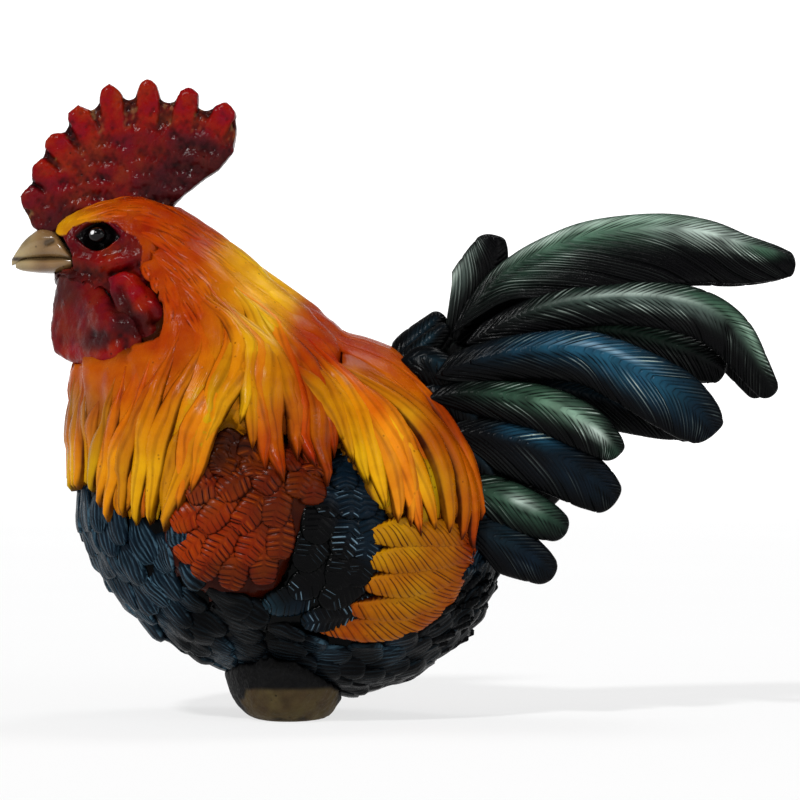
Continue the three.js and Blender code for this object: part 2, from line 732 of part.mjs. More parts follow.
// Small round feathers on the coverts, lowest row first: x, z of each one's root and tip
const PETALS = [
  [[-12.1, 40.1], [-18.6, 28.8]],
  [[-8.6, 39.2], [-11.8, 26.6]],
  [[-4.4, 41], [-4.4, 28]],
  [[-14.2, 41.4], [-23.2, 33.5]],
  [[-8.8, 43.2], [-16, 33.6]],
  [[-3.4, 44.2], [-8.8, 33.4]],
  [[-0.4, 46], [-1.6, 34]],
  [[-14.1, 45.7], [-24, 41]],
  [[-9.3, 48.2], [-17, 40.5]],
  [[-3.2, 49], [-9.8, 40.2]],
  [[-0.4, 51.6], [-2.6, 40.8]],
  [[-5.5, 53.5], [-10.5, 47]],
  [[0, 56], [-3.5, 47.6]],
  [[4.5, 56], [3, 46.5]],
].map(onBody);
const covertOutside = outsideOf(
  joined([torsoGrown(0), pad(COVERTS, COVERT_THICKNESS)]),
  new THREE.Vector3(bodyX(-10), 0, bodyZ(42)),
);
function covertsGrown(grow) {
  const petals = PETALS.map((ends) => {
    const points = ends.map(([x, z]) => new THREE.Vector3(x, -torsoSide(x, z).out, z));
    return relief(covertOutside, points, PETAL_WIDTH, PETAL_HEIGHT, grow);
  });
  return joined([pad(COVERTS, COVERT_THICKNESS, grow), ...petals]);
}

// Long wing feathers of the left side, top one first: x, z points of each one's middle
const PRIMARIES = [
  [[8, 41], [15, 39.4], [23, 38.6], [30, 37.6], [36.4, 36]],
  [[8, 35.6], [15.5, 34.2], [23, 33.4], [30, 33.4], [37, 35]],
  [[6, 30.2], [14.5, 28.8], [23, 28.2], [30.5, 29.2], [36.6, 32]],
  [[4, 25], [11.3, 24], [20.8, 23.1], [29.2, 24.9], [35.4, 29]],
  [[0, 20.2], [8, 18.9], [18.7, 18.3], [27.2, 20.6], [34.2, 26]],
].map(onBody);
const PRIMARY_FORM = [1, 1, 1, 0.96, 0.3]; // share of the width along a feather
const PRIMARY_PROUD = 0.6; // feather's middle, outside the torso
const primaryGrown = (points, grow) =>
  blade(
    points.map(([x, z], i) => {
      const { out, lean } = torsoSide(x, z);
      const half = (PRIMARY_WIDTH / 2) * PRIMARY_FORM[i];
      return [x, out + PRIMARY_PROUD, z, half, PRIMARY_THICKNESS, lean];
    }),
    grow,
    7,
  );

// Tail feathers of the left side, outermost first. Each path row is x, distance
// from the middle plane, z, half width, thickness, lean.
const TAIL_FEATHERS = {
  tail_blue: [NAVY, [
    [31, 11, 70.5, 3.5, 8, 0], [39, 13, 73.5, 4.4, 8, 0], [49.6, 14.6, 75.4, 4.9, 6.5, 5],
    [60.9, 15.6, 75.1, 5.4, 5.4, 5], [69.3, 16, 71.8, 5.9, 5, 3], [78.5, 15.6, 66.8, 6.4, 4.4, 0],
    [84.3, 15, 62.2, 5.6, 3.6, 0], [87, 14.6, 58.8, 2.2, 2.4, 0],
  ]],
  tail_green: [GREEN, [
    [29, 12, 66, 2.6, 7, 0], [36, 13.6, 67, 3, 8, 0], [44, 14.8, 66.2, 3.4, 6.8, 3],
    [52.3, 15.6, 64.6, 4.1, 5.6, 5], [60.3, 15.6, 61, 4.4, 4.8, 3], [65.5, 15, 57.2, 3.6, 3.6, 0],
    [67.6, 14.6, 54.6, 1.5, 2.4, 0],
  ]],
  tail_navy: [NAVY, [
    [31, 11.5, 59, 4, 8, 0], [40, 12.6, 58, 5.4, 8, 0], [48.1, 13.4, 55.9, 6.3, 6.6, 0],
    [56.5, 13.6, 52.4, 6.3, 5.2, 0], [63, 13.2, 48.4, 5.2, 4, 0], [67.2, 13, 44.9, 2, 2.6, 0],
  ]],
  tail_moss: [GREEN, [
    [33, 12.5, 48, 3.5, 7, -5], [41, 13.6, 46.5, 4, 7, -5], [47.5, 14.2, 43.8, 4.2, 6, -5],
    [53.3, 14.2, 41.2, 3.8, 4.6, -5], [57.3, 13.8, 39.1, 1.6, 2.6, -5],
  ]],
  tail_under: [NAVY, [
    [33, 11.5, 40, 4.5, 7, -8], [40, 12.4, 38, 5, 7, -8], [46, 13, 35.2, 5, 6, -8],
    [51, 12.8, 32.4, 4, 4.4, -8], [54.6, 12.4, 29.8, 1.6, 2.6, -8],
  ]],
  sickle_top: [GREEN, [
    [35, 3.8, 79, 3, 5, 20], [44, 5, 87.5, 6, 5, 25], [50, 6, 91.3, 7.4, 4.6, 28],
    [57, 6.6, 94.3, 8.2, 4.2, 28], [65, 7, 96.8, 8.4, 4, 27], [77, 7.4, 97.8, 8.4, 3.8, 25],
    [86, 7.4, 97.4, 7.4, 3.6, 23], [94, 7, 95.8, 5.8, 3.4, 22], [101, 6.5, 95, 4, 3, 20],
    [105.3, 6, 94.6, 1.4, 2, 20],
  ]],
  sickle_second: [GREEN, [
    [37, 6.5, 77, 3, 6, 10], [47, 8.4, 82, 4, 6, 12], [56, 10, 85, 4.4, 5, 15],
    [65.3, 11, 86.2, 4.6, 4.4, 15], [75.4, 11.6, 86.2, 5, 4, 12], [84.8, 11.8, 84.2, 5.1, 3.8, 8],
    [91.3, 11.6, 79.8, 4.8, 3.4, 5], [96, 11.2, 73.2, 3.6, 3, 0], [100, 11, 67.2, 1.3, 2, 0],
  ]],
  sickle_third: [GREEN, [
    [38, 5.5, 74, 3, 5, 0], [50, 6.6, 78.6, 4, 5, 0], [60, 7.6, 80.2, 4.2, 4.4, 0],
    [69, 8.4, 79.6, 4.4, 4, 0], [78.5, 8.8, 77, 4.4, 3.6, 0], [85.9, 8.8, 73.9, 3.8, 3.2, 0],
    [90.3, 8.8, 71.8, 1.3, 2, 0],
  ]],
  tail_hidden: [BLACK, [
    [40, 6.5, 67, 3.5, 5, 0], [52.3, 7.2, 68, 4.6, 5, 0], [64.9, 8, 65.6, 5, 4.6, 0],
    [77, 8.6, 62, 3.8, 3.8, 0], [83, 8.8, 60.2, 1.2, 2.4, 0],
  ]],
};

// Each place of the drawn tail on the real one
const longest = TAIL_FEATHERS.sickle_top[1];
const tailGrowth = TAIL_LENGTH / (span(longest, [0]).high - span(TORSO_DRAWN, [0]).high);
const tailX = stretch(
  { low: span(TORSO_DRAWN, [0]).high, high: span(longest, [0]).high },
  bodyRear,
  bodyRear + TAIL_LENGTH,
);
const drawnMiddle = (span(TORSO_DRAWN, [1]).low + span(TORSO_DRAWN, [2]).high) / 2;
const tailZ = stretch(
  { low: drawnMiddle, high: span(longest, [2]).high },
  bodyMiddle,
  bodyMiddle + TAIL_RISE,
);
const tailOut = stretch({ low: 0, high: span(TAIL_FEATHERS.tail_blue[1], [1]).high }, 0, TAIL_SPREAD / 2);
const onTail = (path) =>
  path.map(([x, y, z, half, thick, lean]) => [
    tailX(x),
    tailOut(y),
    tailZ(z),
    half * tailGrowth,
    thick * tailGrowth,
    lean,
  ]);

// Tail core, the plate that the tail feathers are bonded to
const TAIL_CORE = [
  [22, 76], [28, 80.5], [35, 83.5], [44, 87.5], [56, 91], [68, 93.5], [79, 91], [86, 84], [85, 76],
  [76, 66.5], [66, 57.5], [61, 50], [53, 42], [46, 33.5], [38, 30], [30, 33], [24, 45], [20, 62],
].map(([x, z]) => [tailX(x), tailZ(z)]);
const tailCoreGrown = (grow) => plate(TAIL_CORE, TAIL_CORE_THICKNESS, 1.5, 1, grow);

// Feathers that stand in the middle plane in front of the tail
const UPRIGHT = onTail([
  [30, 0, 74, 4.2, 7, 0], [34.6, 0, 83, 5.6, 7, 0], [39.2, 0, 91.5, 5.6, 6, 0],
  [41.6, 0, 97.5, 4.2, 5, 0], [42.2, 0, 101.2, 1.8, 3, 0],
]);
const ROOT_COVERT = onTail([
  [21, 0, 73, 3, 9, 0], [25, 0, 77, 3.8, 10, 0], [29, 0, 81, 3, 8, 0], [32, 0, 84.4, 1.2, 4, 0],
]);
const SIDE_COVERT = onTail([
  [23, 7, 72, 3, 6, 20], [28, 9.6, 73.5, 4.4, 6, 15], [33, 11, 71, 3.8, 5, 10],
  [37, 11.6, 68.6, 1.4, 3, 10],
]);

// Steel pins: start point on the body and direction
const NECK_PIN = [[bodyX(-22), 0, bodyZ(62)], [-0.4, 0, 1]];
const TAIL_PIN_UPPER = [[bodyX(26), 0, bodyZ(52)], [1, 0, 0.25]];
const TAIL_PIN_LOWER = [[bodyX(24), 0, bodyZ(40.5)], [1, 0, 0]];
const pins = { neck_pin: NECK_PIN, tail_pin_upper: TAIL_PIN_UPPER, tail_pin_lower: TAIL_PIN_LOWER };
const pinRooms = Object.values(pins).map(([start, way]) => pin(start, way, PIN_CLEARANCE));

// Head pieces, cut so that what is set in the head keeps its whole form
const eyes = pair(eyeGrown(0));
const wattles = pair(wattleGrown(0));
const wattleRooms = Object.values(pair(wattleGrown(GLUE_GAP)));
const setInHead = [
  combGrown(GLUE_GAP),
  beakUpper(GLUE_GAP),
  beakLower(GLUE_GAP),
  ...Object.values(pair(eyeGrown(GLUE_GAP))),
  ...wattleRooms,
  ...Object.values(pair(lobeGrown(GLUE_GAP))),
];
const head = cut(headGrown(0), setInHead, torsoRoom, pinRooms);
const comb = combGrown(0);
const upperBeak = cut(beakUpper(0), combGrown(GLUE_GAP));
const lowerBeak = cut(beakLower(0), beakUpper(GLUE_GAP), wattleRooms);
const lobes = pair(cut(lobeGrown(0), wattleRooms));

// Torso and stub
const STUB = fitted(
  [
    [-8.4, 0, 8, 0, 15],
    [-10.6, 1.6, 9, 1.4, 17],
    [-12.4, 4, 10.8, 3.8, 18.7],
    [-13.5, 7, 12.6, 7, 20],
    [-14.4, 10.5, 12.6, 10.5, 20],
    [-14.4, 14, 12.6, 14, 20],
  ],
  [
    { columns: [0, 2], from: -STUB_AHEAD, to: STUB_LENGTH - STUB_AHEAD },
    { columns: [1, 3], from: 0, to: BELLY_RISE + STUB_IN_BELLY },
    { columns: [4], to: STUB_WIDTH / 2 },
  ],
);
const torso = cut(joined([torsoGrown(0), scales(0)]), pinRooms);
const stub = cut(ribbed(STUB, 7, 20), torsoRoom);

// Capes and wing pads, each cut by what lies over it. The neck cape's locks stop where
// the saddle and the wings begin.
const neckRoom = neckGrown(GLUE_GAP);
const saddleRoom = saddleGrown(GLUE_GAP);
const covertRoom = covertsGrown(GLUE_GAP);
const barRoom = pad(WING_BAR, WING_BAR_THICKNESS, GLUE_GAP);
const besideLocks = [saddleRoom, covertRoom, mirrored(covertRoom), barRoom, mirrored(barRoom)];
const openLocks = besideLocks.reduce((left, tool) => left.subtract(tool), locks());
const neck = cut(
  joined([neckGrown(0), openLocks]),
  torsoRoom,
  headGrown(GLUE_GAP),
  setInHead,
  pinRooms,
);
const saddle = cut(saddleGrown(0), torsoRoom, neckRoom, pinRooms);
const coverts = cut(covertsGrown(0), torsoRoom, neckRoom, saddleRoom);
const wingBar = cut(pad(WING_BAR, WING_BAR_THICKNESS), torsoRoom, neckRoom, saddleRoom, covertRoom);
const primaryRooms = PRIMARIES.map((points) => primaryGrown(points, GLUE_GAP));
const primaries = PRIMARIES.map((points, i) =>
  cut(primaryGrown(points, 0), torsoRoom, saddleRoom, covertRoom, barRoom, primaryRooms.slice(0, i)),
);

// Tail: each feather is cut by those that lie over it
const tailNames = Object.keys(TAIL_FEATHERS);
const tailRooms = tailNames.map((name) => blade(onTail(TAIL_FEATHERS[name][1]), GLUE_GAP));
const bodyRooms = [torsoRoom, neckRoom, saddleRoom];
const uprightRoom = blade(UPRIGHT, GLUE_GAP, 7);
const rootRoom = blade(ROOT_COVERT, GLUE_GAP, 5);
const sideRoom = blade(SIDE_COVERT, GLUE_GAP, 5);
const tailFeathers = tailNames.map((name, i) =>
  cut(blade(onTail(TAIL_FEATHERS[name][1])), bodyRooms, sideRoom, tailRooms.slice(0, i)),
);
const allTailRooms = [...tailRooms, ...tailRooms.map(mirrored)];
const upright = cut(blade(UPRIGHT, 0, 7), bodyRooms, allTailRooms);
const rootCovert = cut(blade(ROOT_COVERT, 0, 5), bodyRooms, allTailRooms, uprightRoom);
const sideCoverts = pair(cut(blade(SIDE_COVERT, 0, 5), bodyRooms, rootRoom, uprightRoom));
const tailCore = cut(
  tailCoreGrown(0),
  bodyRooms,
  allTailRooms,
  uprightRoom,
  rootRoom,
  sideRoom,
  mirrored(sideRoom),
  pinRooms,
);

// A solid as a named mesh in a group, placed from the group's own origin
function add(group, name, solid, material) {
  const geometry = geometryOf(solid);
  geometry.translate(-group.position.x, -group.position.y, -group.position.z);
  geometry.computeVertexNormals();
  const mesh = new THREE.Mesh(geometry, material);
  mesh.name = name;
  group.add(mesh);
}

function addPair(group, name, { left, right }, material) {
  add(group, `${name}_left`, left, material);
  add(group, `${name}_right`, right, material);
}

const rooster = new THREE.Group();
const headGroup = new THREE.Group();
const tailGroup = new THREE.Group();
headGroup.position.set(headMiddleX, 0, headMiddleZ);
tailGroup.position.set(bodyRear, 0, bodyMiddle);
rooster.add(headGroup, tailGroup);

add(rooster, "torso", torso, BLACK);
add(rooster, "stub", stub, BARE_RESIN);
add(rooster, "neck_cape", neck, ORANGE);
add(rooster, "saddle_cape", saddle, GOLD);
addPair(rooster, "wing_coverts", pair(coverts), RUST);
addPair(rooster, "wing_bar", pair(wingBar), BLACK);
primaries.forEach((solid, i) => addPair(rooster, `primary_${i + 1}`, pair(solid), GOLD));
add(headGroup, "head", head, ORANGE);
add(headGroup, "comb", comb, CRIMSON);
add(headGroup, "upper_beak", upperBeak, HORN);
add(headGroup, "lower_beak", lowerBeak, HORN);
addPair(headGroup, "eye", eyes, EYE_BLACK);
addPair(headGroup, "wattle", wattles, CRIMSON);
addPair(headGroup, "ear_lobe", lobes, CRIMSON);
add(tailGroup, "tail_core", tailCore, BLACK);
add(tailGroup, "upright_feather", upright, BLACK);
add(tailGroup, "root_covert", rootCovert, BLACK);
addPair(tailGroup, "side_covert", sideCoverts, BLACK);
tailNames.forEach((name, i) => addPair(tailGroup, name, pair(tailFeathers[i]), TAIL_FEATHERS[name][0]));
for (const [name, [start, way]] of Object.entries(pins)) add(rooster, name, pin(start, way), STEEL);

export default rooster;
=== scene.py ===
import math

import bmesh
import bpy
import numpy as np
from mathutils.bvhtree import BVHTree
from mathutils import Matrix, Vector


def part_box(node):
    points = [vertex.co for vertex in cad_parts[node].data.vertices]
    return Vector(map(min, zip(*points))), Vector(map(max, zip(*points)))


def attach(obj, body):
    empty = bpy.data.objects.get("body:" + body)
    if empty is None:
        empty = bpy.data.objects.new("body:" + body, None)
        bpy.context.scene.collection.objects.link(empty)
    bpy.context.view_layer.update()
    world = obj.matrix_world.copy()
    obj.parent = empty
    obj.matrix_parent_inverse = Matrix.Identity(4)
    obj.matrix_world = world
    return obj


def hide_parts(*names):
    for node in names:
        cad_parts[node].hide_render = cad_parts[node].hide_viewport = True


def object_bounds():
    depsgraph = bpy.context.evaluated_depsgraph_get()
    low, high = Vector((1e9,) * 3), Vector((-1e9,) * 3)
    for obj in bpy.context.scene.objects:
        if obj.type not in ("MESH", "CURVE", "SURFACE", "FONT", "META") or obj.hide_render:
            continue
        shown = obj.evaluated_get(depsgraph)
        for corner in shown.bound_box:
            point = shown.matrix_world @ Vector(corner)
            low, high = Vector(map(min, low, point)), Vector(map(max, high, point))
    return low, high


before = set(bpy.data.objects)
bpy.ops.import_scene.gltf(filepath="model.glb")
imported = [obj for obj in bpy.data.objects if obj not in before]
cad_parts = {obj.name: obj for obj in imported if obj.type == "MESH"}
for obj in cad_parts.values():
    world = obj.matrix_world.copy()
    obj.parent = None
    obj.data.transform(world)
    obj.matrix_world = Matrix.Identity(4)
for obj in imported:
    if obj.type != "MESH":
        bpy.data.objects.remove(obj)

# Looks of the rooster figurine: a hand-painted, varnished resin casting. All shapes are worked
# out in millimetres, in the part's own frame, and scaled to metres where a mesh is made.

CAD_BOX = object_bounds()
MM = 0.001
LOW, HIGH = np.array([list(corner) for corner in CAD_BOX]) / MM
CAMERA_AWAY = 800.0  # from the middle plane, where its view is this wide, round this place
VIEW_WIDTH = 168.0
VIEW_X, VIEW_Z = 22.9, 66.4
PIXEL = 0.21  # one pixel of the photograph, in the middle plane
PIXEL_X0, PIXEL_Z0 = 291.0, 716.0  # pixel of the origin
WAVES = 16  # summed in one ripple
SPRAY_BLEND = 0.9  # how sharply one sprayed colour turns into the next
STROKE_REACH, STROKE_FALL = 90, 1.6  # how far a stroke's direction carries, in square pixels


# Small vector helpers
def unit(v):
    return v / np.maximum(np.linalg.norm(v, axis=-1, keepdims=True), 1e-9)


def smooth(v, low, high):
    t = np.clip((np.asarray(v, float) - low) / (high - low), 0, 1)
    return t * t * (3 - 2 * t)


def photo(px, py):
    """The place in the middle plane that a pixel of the photograph shows, as x, z"""
    return (px - PIXEL_X0) * PIXEL, (PIXEL_Z0 - py) * PIXEL


def flat(points):
    """Points as the camera sees them, in the middle plane, as pixels of the photograph"""
    near = CAMERA_AWAY / (CAMERA_AWAY - np.abs(points[..., 1]))
    x = VIEW_X + (points[..., 0] - VIEW_X) * near
    z = VIEW_Z + (points[..., 2] - VIEW_Z) * near
    return np.stack([x / PIXEL + PIXEL_X0, PIXEL_Z0 - z / PIXEL], -1)


def ripple(points, size, seed):
    """Smooth lumps of about that size, between about -1 and 1"""
    chance = np.random.default_rng(seed)
    ways = unit(chance.normal(size=(WAVES, 3)))
    lengths = size * chance.uniform(0.8, 2.4, WAVES)
    turns = chance.uniform(0, math.tau, WAVES)
    return np.sin(points @ (ways / lengths[:, None]).T * math.tau + turns).mean(-1) * 2.4


def ridge(v):
    """Rounded ridges, one for each whole number, from 0 in the groove to 1"""
    return np.sqrt(0.5 + 0.5 * np.cos(math.tau * np.asarray(v)) + 1e-6)


def along(rows, t):
    """Rows of numbers as a smooth line, at the shares t of the way"""
    rows = np.asarray(rows, float)
    place = np.clip(np.asarray(t, float), 0, 1) * (len(rows) - 1)
    i = np.minimum(place.astype(int), len(rows) - 2)
    f = (place - i)[..., None]
    a, b = rows[np.maximum(i - 1, 0)], rows[i]
    c, d = rows[i + 1], rows[np.minimum(i + 2, len(rows) - 1)]
    return b + 0.5 * f * (c - a + f * (2 * a - 5 * b + 4 * c - d + f * (3 * (b - c) + d - a)))


def mirrored(points):
    return points * [1, -1, 1]


def tone(code):
    """A colour written as on the web, as linear light"""
    parts = [int(code[i : i + 2], 16) / 255 for i in (1, 3, 5)]
    return np.array([p / 12.92 if p < 0.04045 else ((p + 0.055) / 1.055) ** 2.4 for p in parts])


PAINT = {name: tone(code) for name, code in {
    "sun": "#DCA018", "yellow": "#CC8C0A", "amber": "#BC6C06", "orange": "#AC4C04",
    "flame": "#9A3202", "ember": "#862804", "rust": "#703414", "tan": "#8E5220",
    "umber": "#381404", "brick": "#5E1E06", "scarlet": "#7A0C06", "crimson": "#600C0A",
    "plum": "#3A0E10", "rose": "#A83028", "maroon": "#180203", "black": "#040405",
    "slate": "#142832", "navy": "#08151F", "blue": "#205068", "steel": "#84A4B8",
    "haze": "#5A7E92", "moss": "#20342A", "green": "#3C5E4A", "mint": "#7A9884",
    "silver": "#B0C0B6", "pewter": "#56645E", "horn": "#A08E66", "cream": "#DCCBA0",
    "olive": "#7A5C38", "resin": "#40341F", "ink": "#020303", "dark_rust": "#180301",
    "dark_gold": "#381203", "dark_horn": "#2A1C08", "dirt": "#0A0805", "pit": "#40160E",
    "crust": "#6A5030",
}.items()}


def sprayed(reach=1.0, **spots):
    """Airbrushed colour over the side view: spots of pixel x, pixel y and size for each paint"""
    rows = np.array([spot for group in spots.values() for spot in group], float)
    places, sizes = rows[:, :2], rows[:, 2] * reach
    colours = np.array([PAINT[name] for name, group in spots.items() for _ in group])

    def colour(points):
        away = ((flat(points)[..., None, :] - places) ** 2).sum(-1) / sizes**2
        weight = np.exp(-(away - away.min(-1, keepdims=True)) * SPRAY_BLEND)
        return (weight[..., None] * colours).sum(-2) / weight.sum(-1)[..., None]

    return colour


def blend(one, other, share):
    """One colour turned into the other, by a share for each point"""
    share = np.asarray(share, float)[..., None]
    return one * (1 - share) + other * share


def combed(strokes):
    """Which way feathers lie in the side view, from strokes of pixel x, y and a step right, down"""
    places = np.array([s[:2] for s in strokes], float)
    ways = unit(np.array([[s[2], 0, -s[3]] for s in strokes], float))

    def way(points):
        away = ((flat(points)[..., None, :] - places) ** 2).sum(-1)
        weight = 1 / (away + STROKE_REACH) ** STROKE_FALL
        return unit((weight[..., None] * ways).sum(-2))

    return way


# Meshes in and out of Blender
def placed(name, data):
    """A new object in the scene"""
    made = bpy.data.objects.new(name, data)
    bpy.context.scene.collection.objects.link(made)
    return made


def solid_copy(nodes, voxel, relax, levels=0):
    """The outside of some CAD nodes as one smooth skin: points, four-sided faces"""
    points, faces = [], []
    for name in nodes:
        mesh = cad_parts[name].data
        start = len(points)
        points += [v.co[:] for v in mesh.vertices]
        faces += [[start + i for i in p.vertices] for p in mesh.polygons]
    mesh = bpy.data.meshes.new("form")
    mesh.from_pydata(points, [], faces)
    made = placed("form", mesh)
    weld = made.modifiers.new("weld", "WELD")
    weld.merge_threshold = 0.00001
    voxels = made.modifiers.new("voxels", "REMESH")
    voxels.mode = "VOXEL"
    voxels.voxel_size = voxel * MM
    if relax:
        relaxed = made.modifiers.new("relax", "SMOOTH")
        relaxed.factor = 0.5
        relaxed.iterations = relax
    if levels:
        finer = made.modifiers.new("finer", "SUBSURF")
        finer.levels = levels
    graph = bpy.context.evaluated_depsgraph_get()
    result = bpy.data.meshes.new_from_object(made.evaluated_get(graph))
    co = np.zeros(len(result.vertices) * 3)
    result.vertices.foreach_get("co", co)
    quads = np.array([p.vertices[:] for p in result.polygons])
    bpy.data.objects.remove(made)
    bpy.data.meshes.remove(result)
    return largest(co.reshape(-1, 3) / MM, quads)


def largest(points, quads):
    """Only the biggest connected shell"""
    label = np.arange(len(points))
    for _ in range(400):
        low = label[quads].min(1)
        before = label.copy()
        for k in range(quads.shape[1]):
            np.minimum.at(label, quads[:, k], low)
        label = label[label]
        if (label == before).all():
            break
    values, counts = np.unique(label[quads[:, 0]], return_counts=True)
    kept = quads[label[quads[:, 0]] == values[counts.argmax()]]
    used, index = np.unique(kept, return_inverse=True)
    return points[used], index.reshape(kept.shape)


def normals_of(points, quads):
    a, b, c, d = (points[quads[:, k]] for k in range(4))
    across = np.cross(c - a, d - b)
    total = np.zeros_like(points)
    for k in range(4):
        np.add.at(total, quads[:, k], across)
    return unit(total)


def raised(points, quads, height):
    """Points moved outwards along their normals, by one height or one each"""
    return points + normals_of(points, quads) * np.reshape(height, (-1, 1))


class Skin:
    """A smooth surface that feathers are laid on"""

    def __init__(self, points, quads):
        self.points = points
        self.triangles = np.concatenate([quads[:, [0, 1, 2]], quads[:, [0, 2, 3]]])
        self.normals = normals_of(points, quads)
        self.tree = BVHTree.FromPolygons(points.tolist(), self.triangles.tolist())

    def _at(self, spots, index):
        corners = self.triangles[index]
        a, b, c = (self.points[corners[:, k]] for k in range(3))
        whole = np.cross(b - a, c - a)
        size = np.maximum((whole**2).sum(-1), 1e-12)
        u = (np.cross(c - b, spots - b) * whole).sum(-1) / size
        v = (np.cross(a - c, spots - c) * whole).sum(-1) / size
        share = np.stack([u, v, 1 - u - v], -1)[..., None]
        return unit((self.normals[corners] * share).sum(1))

    def snap(self, points):
        """The nearest places on the skin and its normals there"""
        shape = np.shape(points)
        hits = [self.tree.find_nearest(p) for p in np.reshape(points, (-1, 3)).tolist()]
        spots = np.array([h[0][:] for h in hits])
        index = np.array([h[2] for h in hits])
        return spots.reshape(shape), self._at(spots, index).reshape(shape)

    def seen(self, px, py):
        """The place on the left side that the camera sees at a pixel of the photograph"""
        x, z = photo(px, py)
        eye = np.array([VIEW_X, -CAMERA_AWAY, VIEW_Z])
        way = unit(np.array([x, 0.0, z]) - eye)
        spot = self.tree.ray_cast(eye.tolist(), way.tolist())[0]
        if spot is None:
            spot = self.tree.find_nearest([x, 0.0, z])[0]
        return np.array(spot[:])

    def scatter(self, chance, count, wanted):
        """Random places spread evenly over the wanted part of the skin"""
        a, b, c = (self.points[self.triangles[:, k]] for k in range(3))
        area = np.linalg.norm(np.cross(b - a, c - a), axis=-1)
        area = area * wanted((a + b + c) / 3)
        pick = chance.choice(len(area), count, p=area / area.sum())
        u, v = chance.random((2, count, 1)) ** [[[0.5]], [[1.0]]]
        return a[pick] * (1 - u) + b[pick] * u * (1 - v) + c[pick] * u * v

    def walk(self, start, way, length, steps, chance=None, wander=0.0):
        """A line down the skin from a place, the way that feathers lie there"""
        spot, normal = self.snap(np.array([start]))
        line = [spot[0]]
        turn = chance.uniform(0, math.tau) if chance is not None else 0.0
        for k in range(steps - 1):
            ahead = way(line[-1])
            ahead = unit(ahead - normal[0] * (ahead @ normal[0]))
            ahead = ahead + np.cross(normal[0], ahead) * wander * math.sin(turn + 5.0 * k / steps)
            spot, normal = self.snap(line[-1] + unit(ahead)[None] * length / (steps - 1))
            line.append(spot[0])
        return np.array(line)


def flow_strand(points):
    """Rough stand-in for places along and across a feather, on a bare skin"""
    return np.stack([points[..., 0] + points[..., 1] * 0.6, points[..., 2], points[..., 1] * 0.02], -1)


class Casting:
    """One visible piece, gathered from closed forms"""

    def __init__(self, name, slot, material, *nodes):
        self.name, self.slot, self.material, self.nodes = name, slot, material, nodes
        self.points, self.quads, self.ends = [], [], []
        self.paint, self.carve, self.strand = [], [], []
        self.count = 0

    def _keep(self, points, paint, carve, strand):
        strand = flow_strand(points) if strand is None else strand
        self.points.append(points.reshape(-1, 3))
        self.paint.append(np.broadcast_to(paint, points.shape).reshape(-1, 3))
        self.carve.append(np.broadcast_to(carve, points.shape[:-1]).reshape(-1))
        self.strand.append(np.broadcast_to(strand, points.shape).reshape(-1, 3))
        self.count += points.size // 3

    def loft(self, rings, paint, carve, strand=None):
        """A closed form through rings of points"""
        n, m = rings.shape[:2]
        index = self.count + np.arange(n * m).reshape(n, m)
        a, b = index[:-1], index[1:]
        quads = np.stack([a, np.roll(a, -1, 1), np.roll(b, -1, 1), b], -1)
        self.quads.append(quads.reshape(-1, 4))
        self.ends += [index[0].tolist(), index[-1].tolist()]
        self._keep(rings, paint, carve, strand)

    def shell(self, points, quads, paint, carve, strand=None):
        """A closed skin"""
        self.quads.append(quads + self.count)
        self._keep(points, paint, carve, strand)

    def build(self):
        points = np.clip(np.concatenate(self.points), LOW, HIGH)
        faces = np.concatenate(self.quads).tolist() + self.ends
        mesh = bpy.data.meshes.new(self.name)
        mesh.from_pydata((points * MM).tolist(), [], faces)
        for name, kind, field, values in (
            ("paint", "FLOAT_COLOR", "color", np.insert(np.concatenate(self.paint), 3, 1, axis=1)),
            ("carve", "FLOAT", "value", np.concatenate(self.carve)),
            ("strand", "FLOAT_VECTOR", "vector", np.concatenate(self.strand)),
        ):
            layer = mesh.attributes.new(name, kind, "POINT")
            layer.data.foreach_set(field, values.ravel().astype(np.float32))
        mesh.shade_smooth()
        mesh.materials.append(self.material)
        made = placed(self.name, mesh)
        turn_out(mesh)
        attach(made, "root")
        if self.nodes:
            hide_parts(*self.nodes)


def turn_out(mesh):
    """All faces of each closed form point outwards"""
    work = bmesh.new()
    work.from_mesh(mesh)
    bmesh.ops.recalc_face_normals(work, faces=work.faces)
    work.to_mesh(mesh)
    work.free()


# Materials
CLOUD_SCALE, SPECK_SCALE, PIT_SCALE = 230.0, 1500.0, 420.0  # per metre
HAIR_SCALE = (3.2, 0.22, 5.0)  # per mm across and along the fine lines, and from feather to feather
LINE_DEPTH, GRAIN_DEPTH = 0.00025, 0.0002  # m
CLOUD = (0.3, 0.7)  # the range that the noise mostly covers


def fresh(name):
    """A new material and its empty node tree"""
    material = bpy.data.materials.new(name)
    material.use_nodes = True
    material.node_tree.nodes.clear()
    return material, material.node_tree


def node(tree, kind, inputs=None, **settings):
    made = tree.nodes.new("ShaderNode" + kind)
    for key, value in settings.items():
        setattr(made, key, value)
    for key, value in (inputs or {}).items():
        if isinstance(value, bpy.types.NodeSocket):
            tree.links.new(value, made.inputs[key])
        else:
            made.inputs[key].default_value = value
    return made


def ranged(tree, value, low, high, start, end):
    limits = {"Value": value, "From Min": low, "From Max": high, "To Min": start, "To Max": end}
    return node(tree, "MapRange", limits).outputs["Result"]


def times(tree, a, b):
    return node(tree, "Math", {0: a, 1: b}, operation="MULTIPLY").outputs[0]


def mixed(tree, share, a, b):
    return node(tree, "Mix", {0: share, 6: a, 7: b}, data_type="RGBA").outputs[2]


def noise(tree, place, scale, detail):
    return node(tree, "TexNoise", {"Vector": place, "Scale": scale, "Detail": detail}).outputs["Fac"]


def stored(tree, name, socket):
    return node(tree, "Attribute", attribute_name=name).outputs[socket]


def shaded(tree, inputs):
    shader = node(tree, "BsdfPrincipled", inputs)
    node(tree, "OutputMaterial", {"Surface": shader.outputs["BSDF"]})


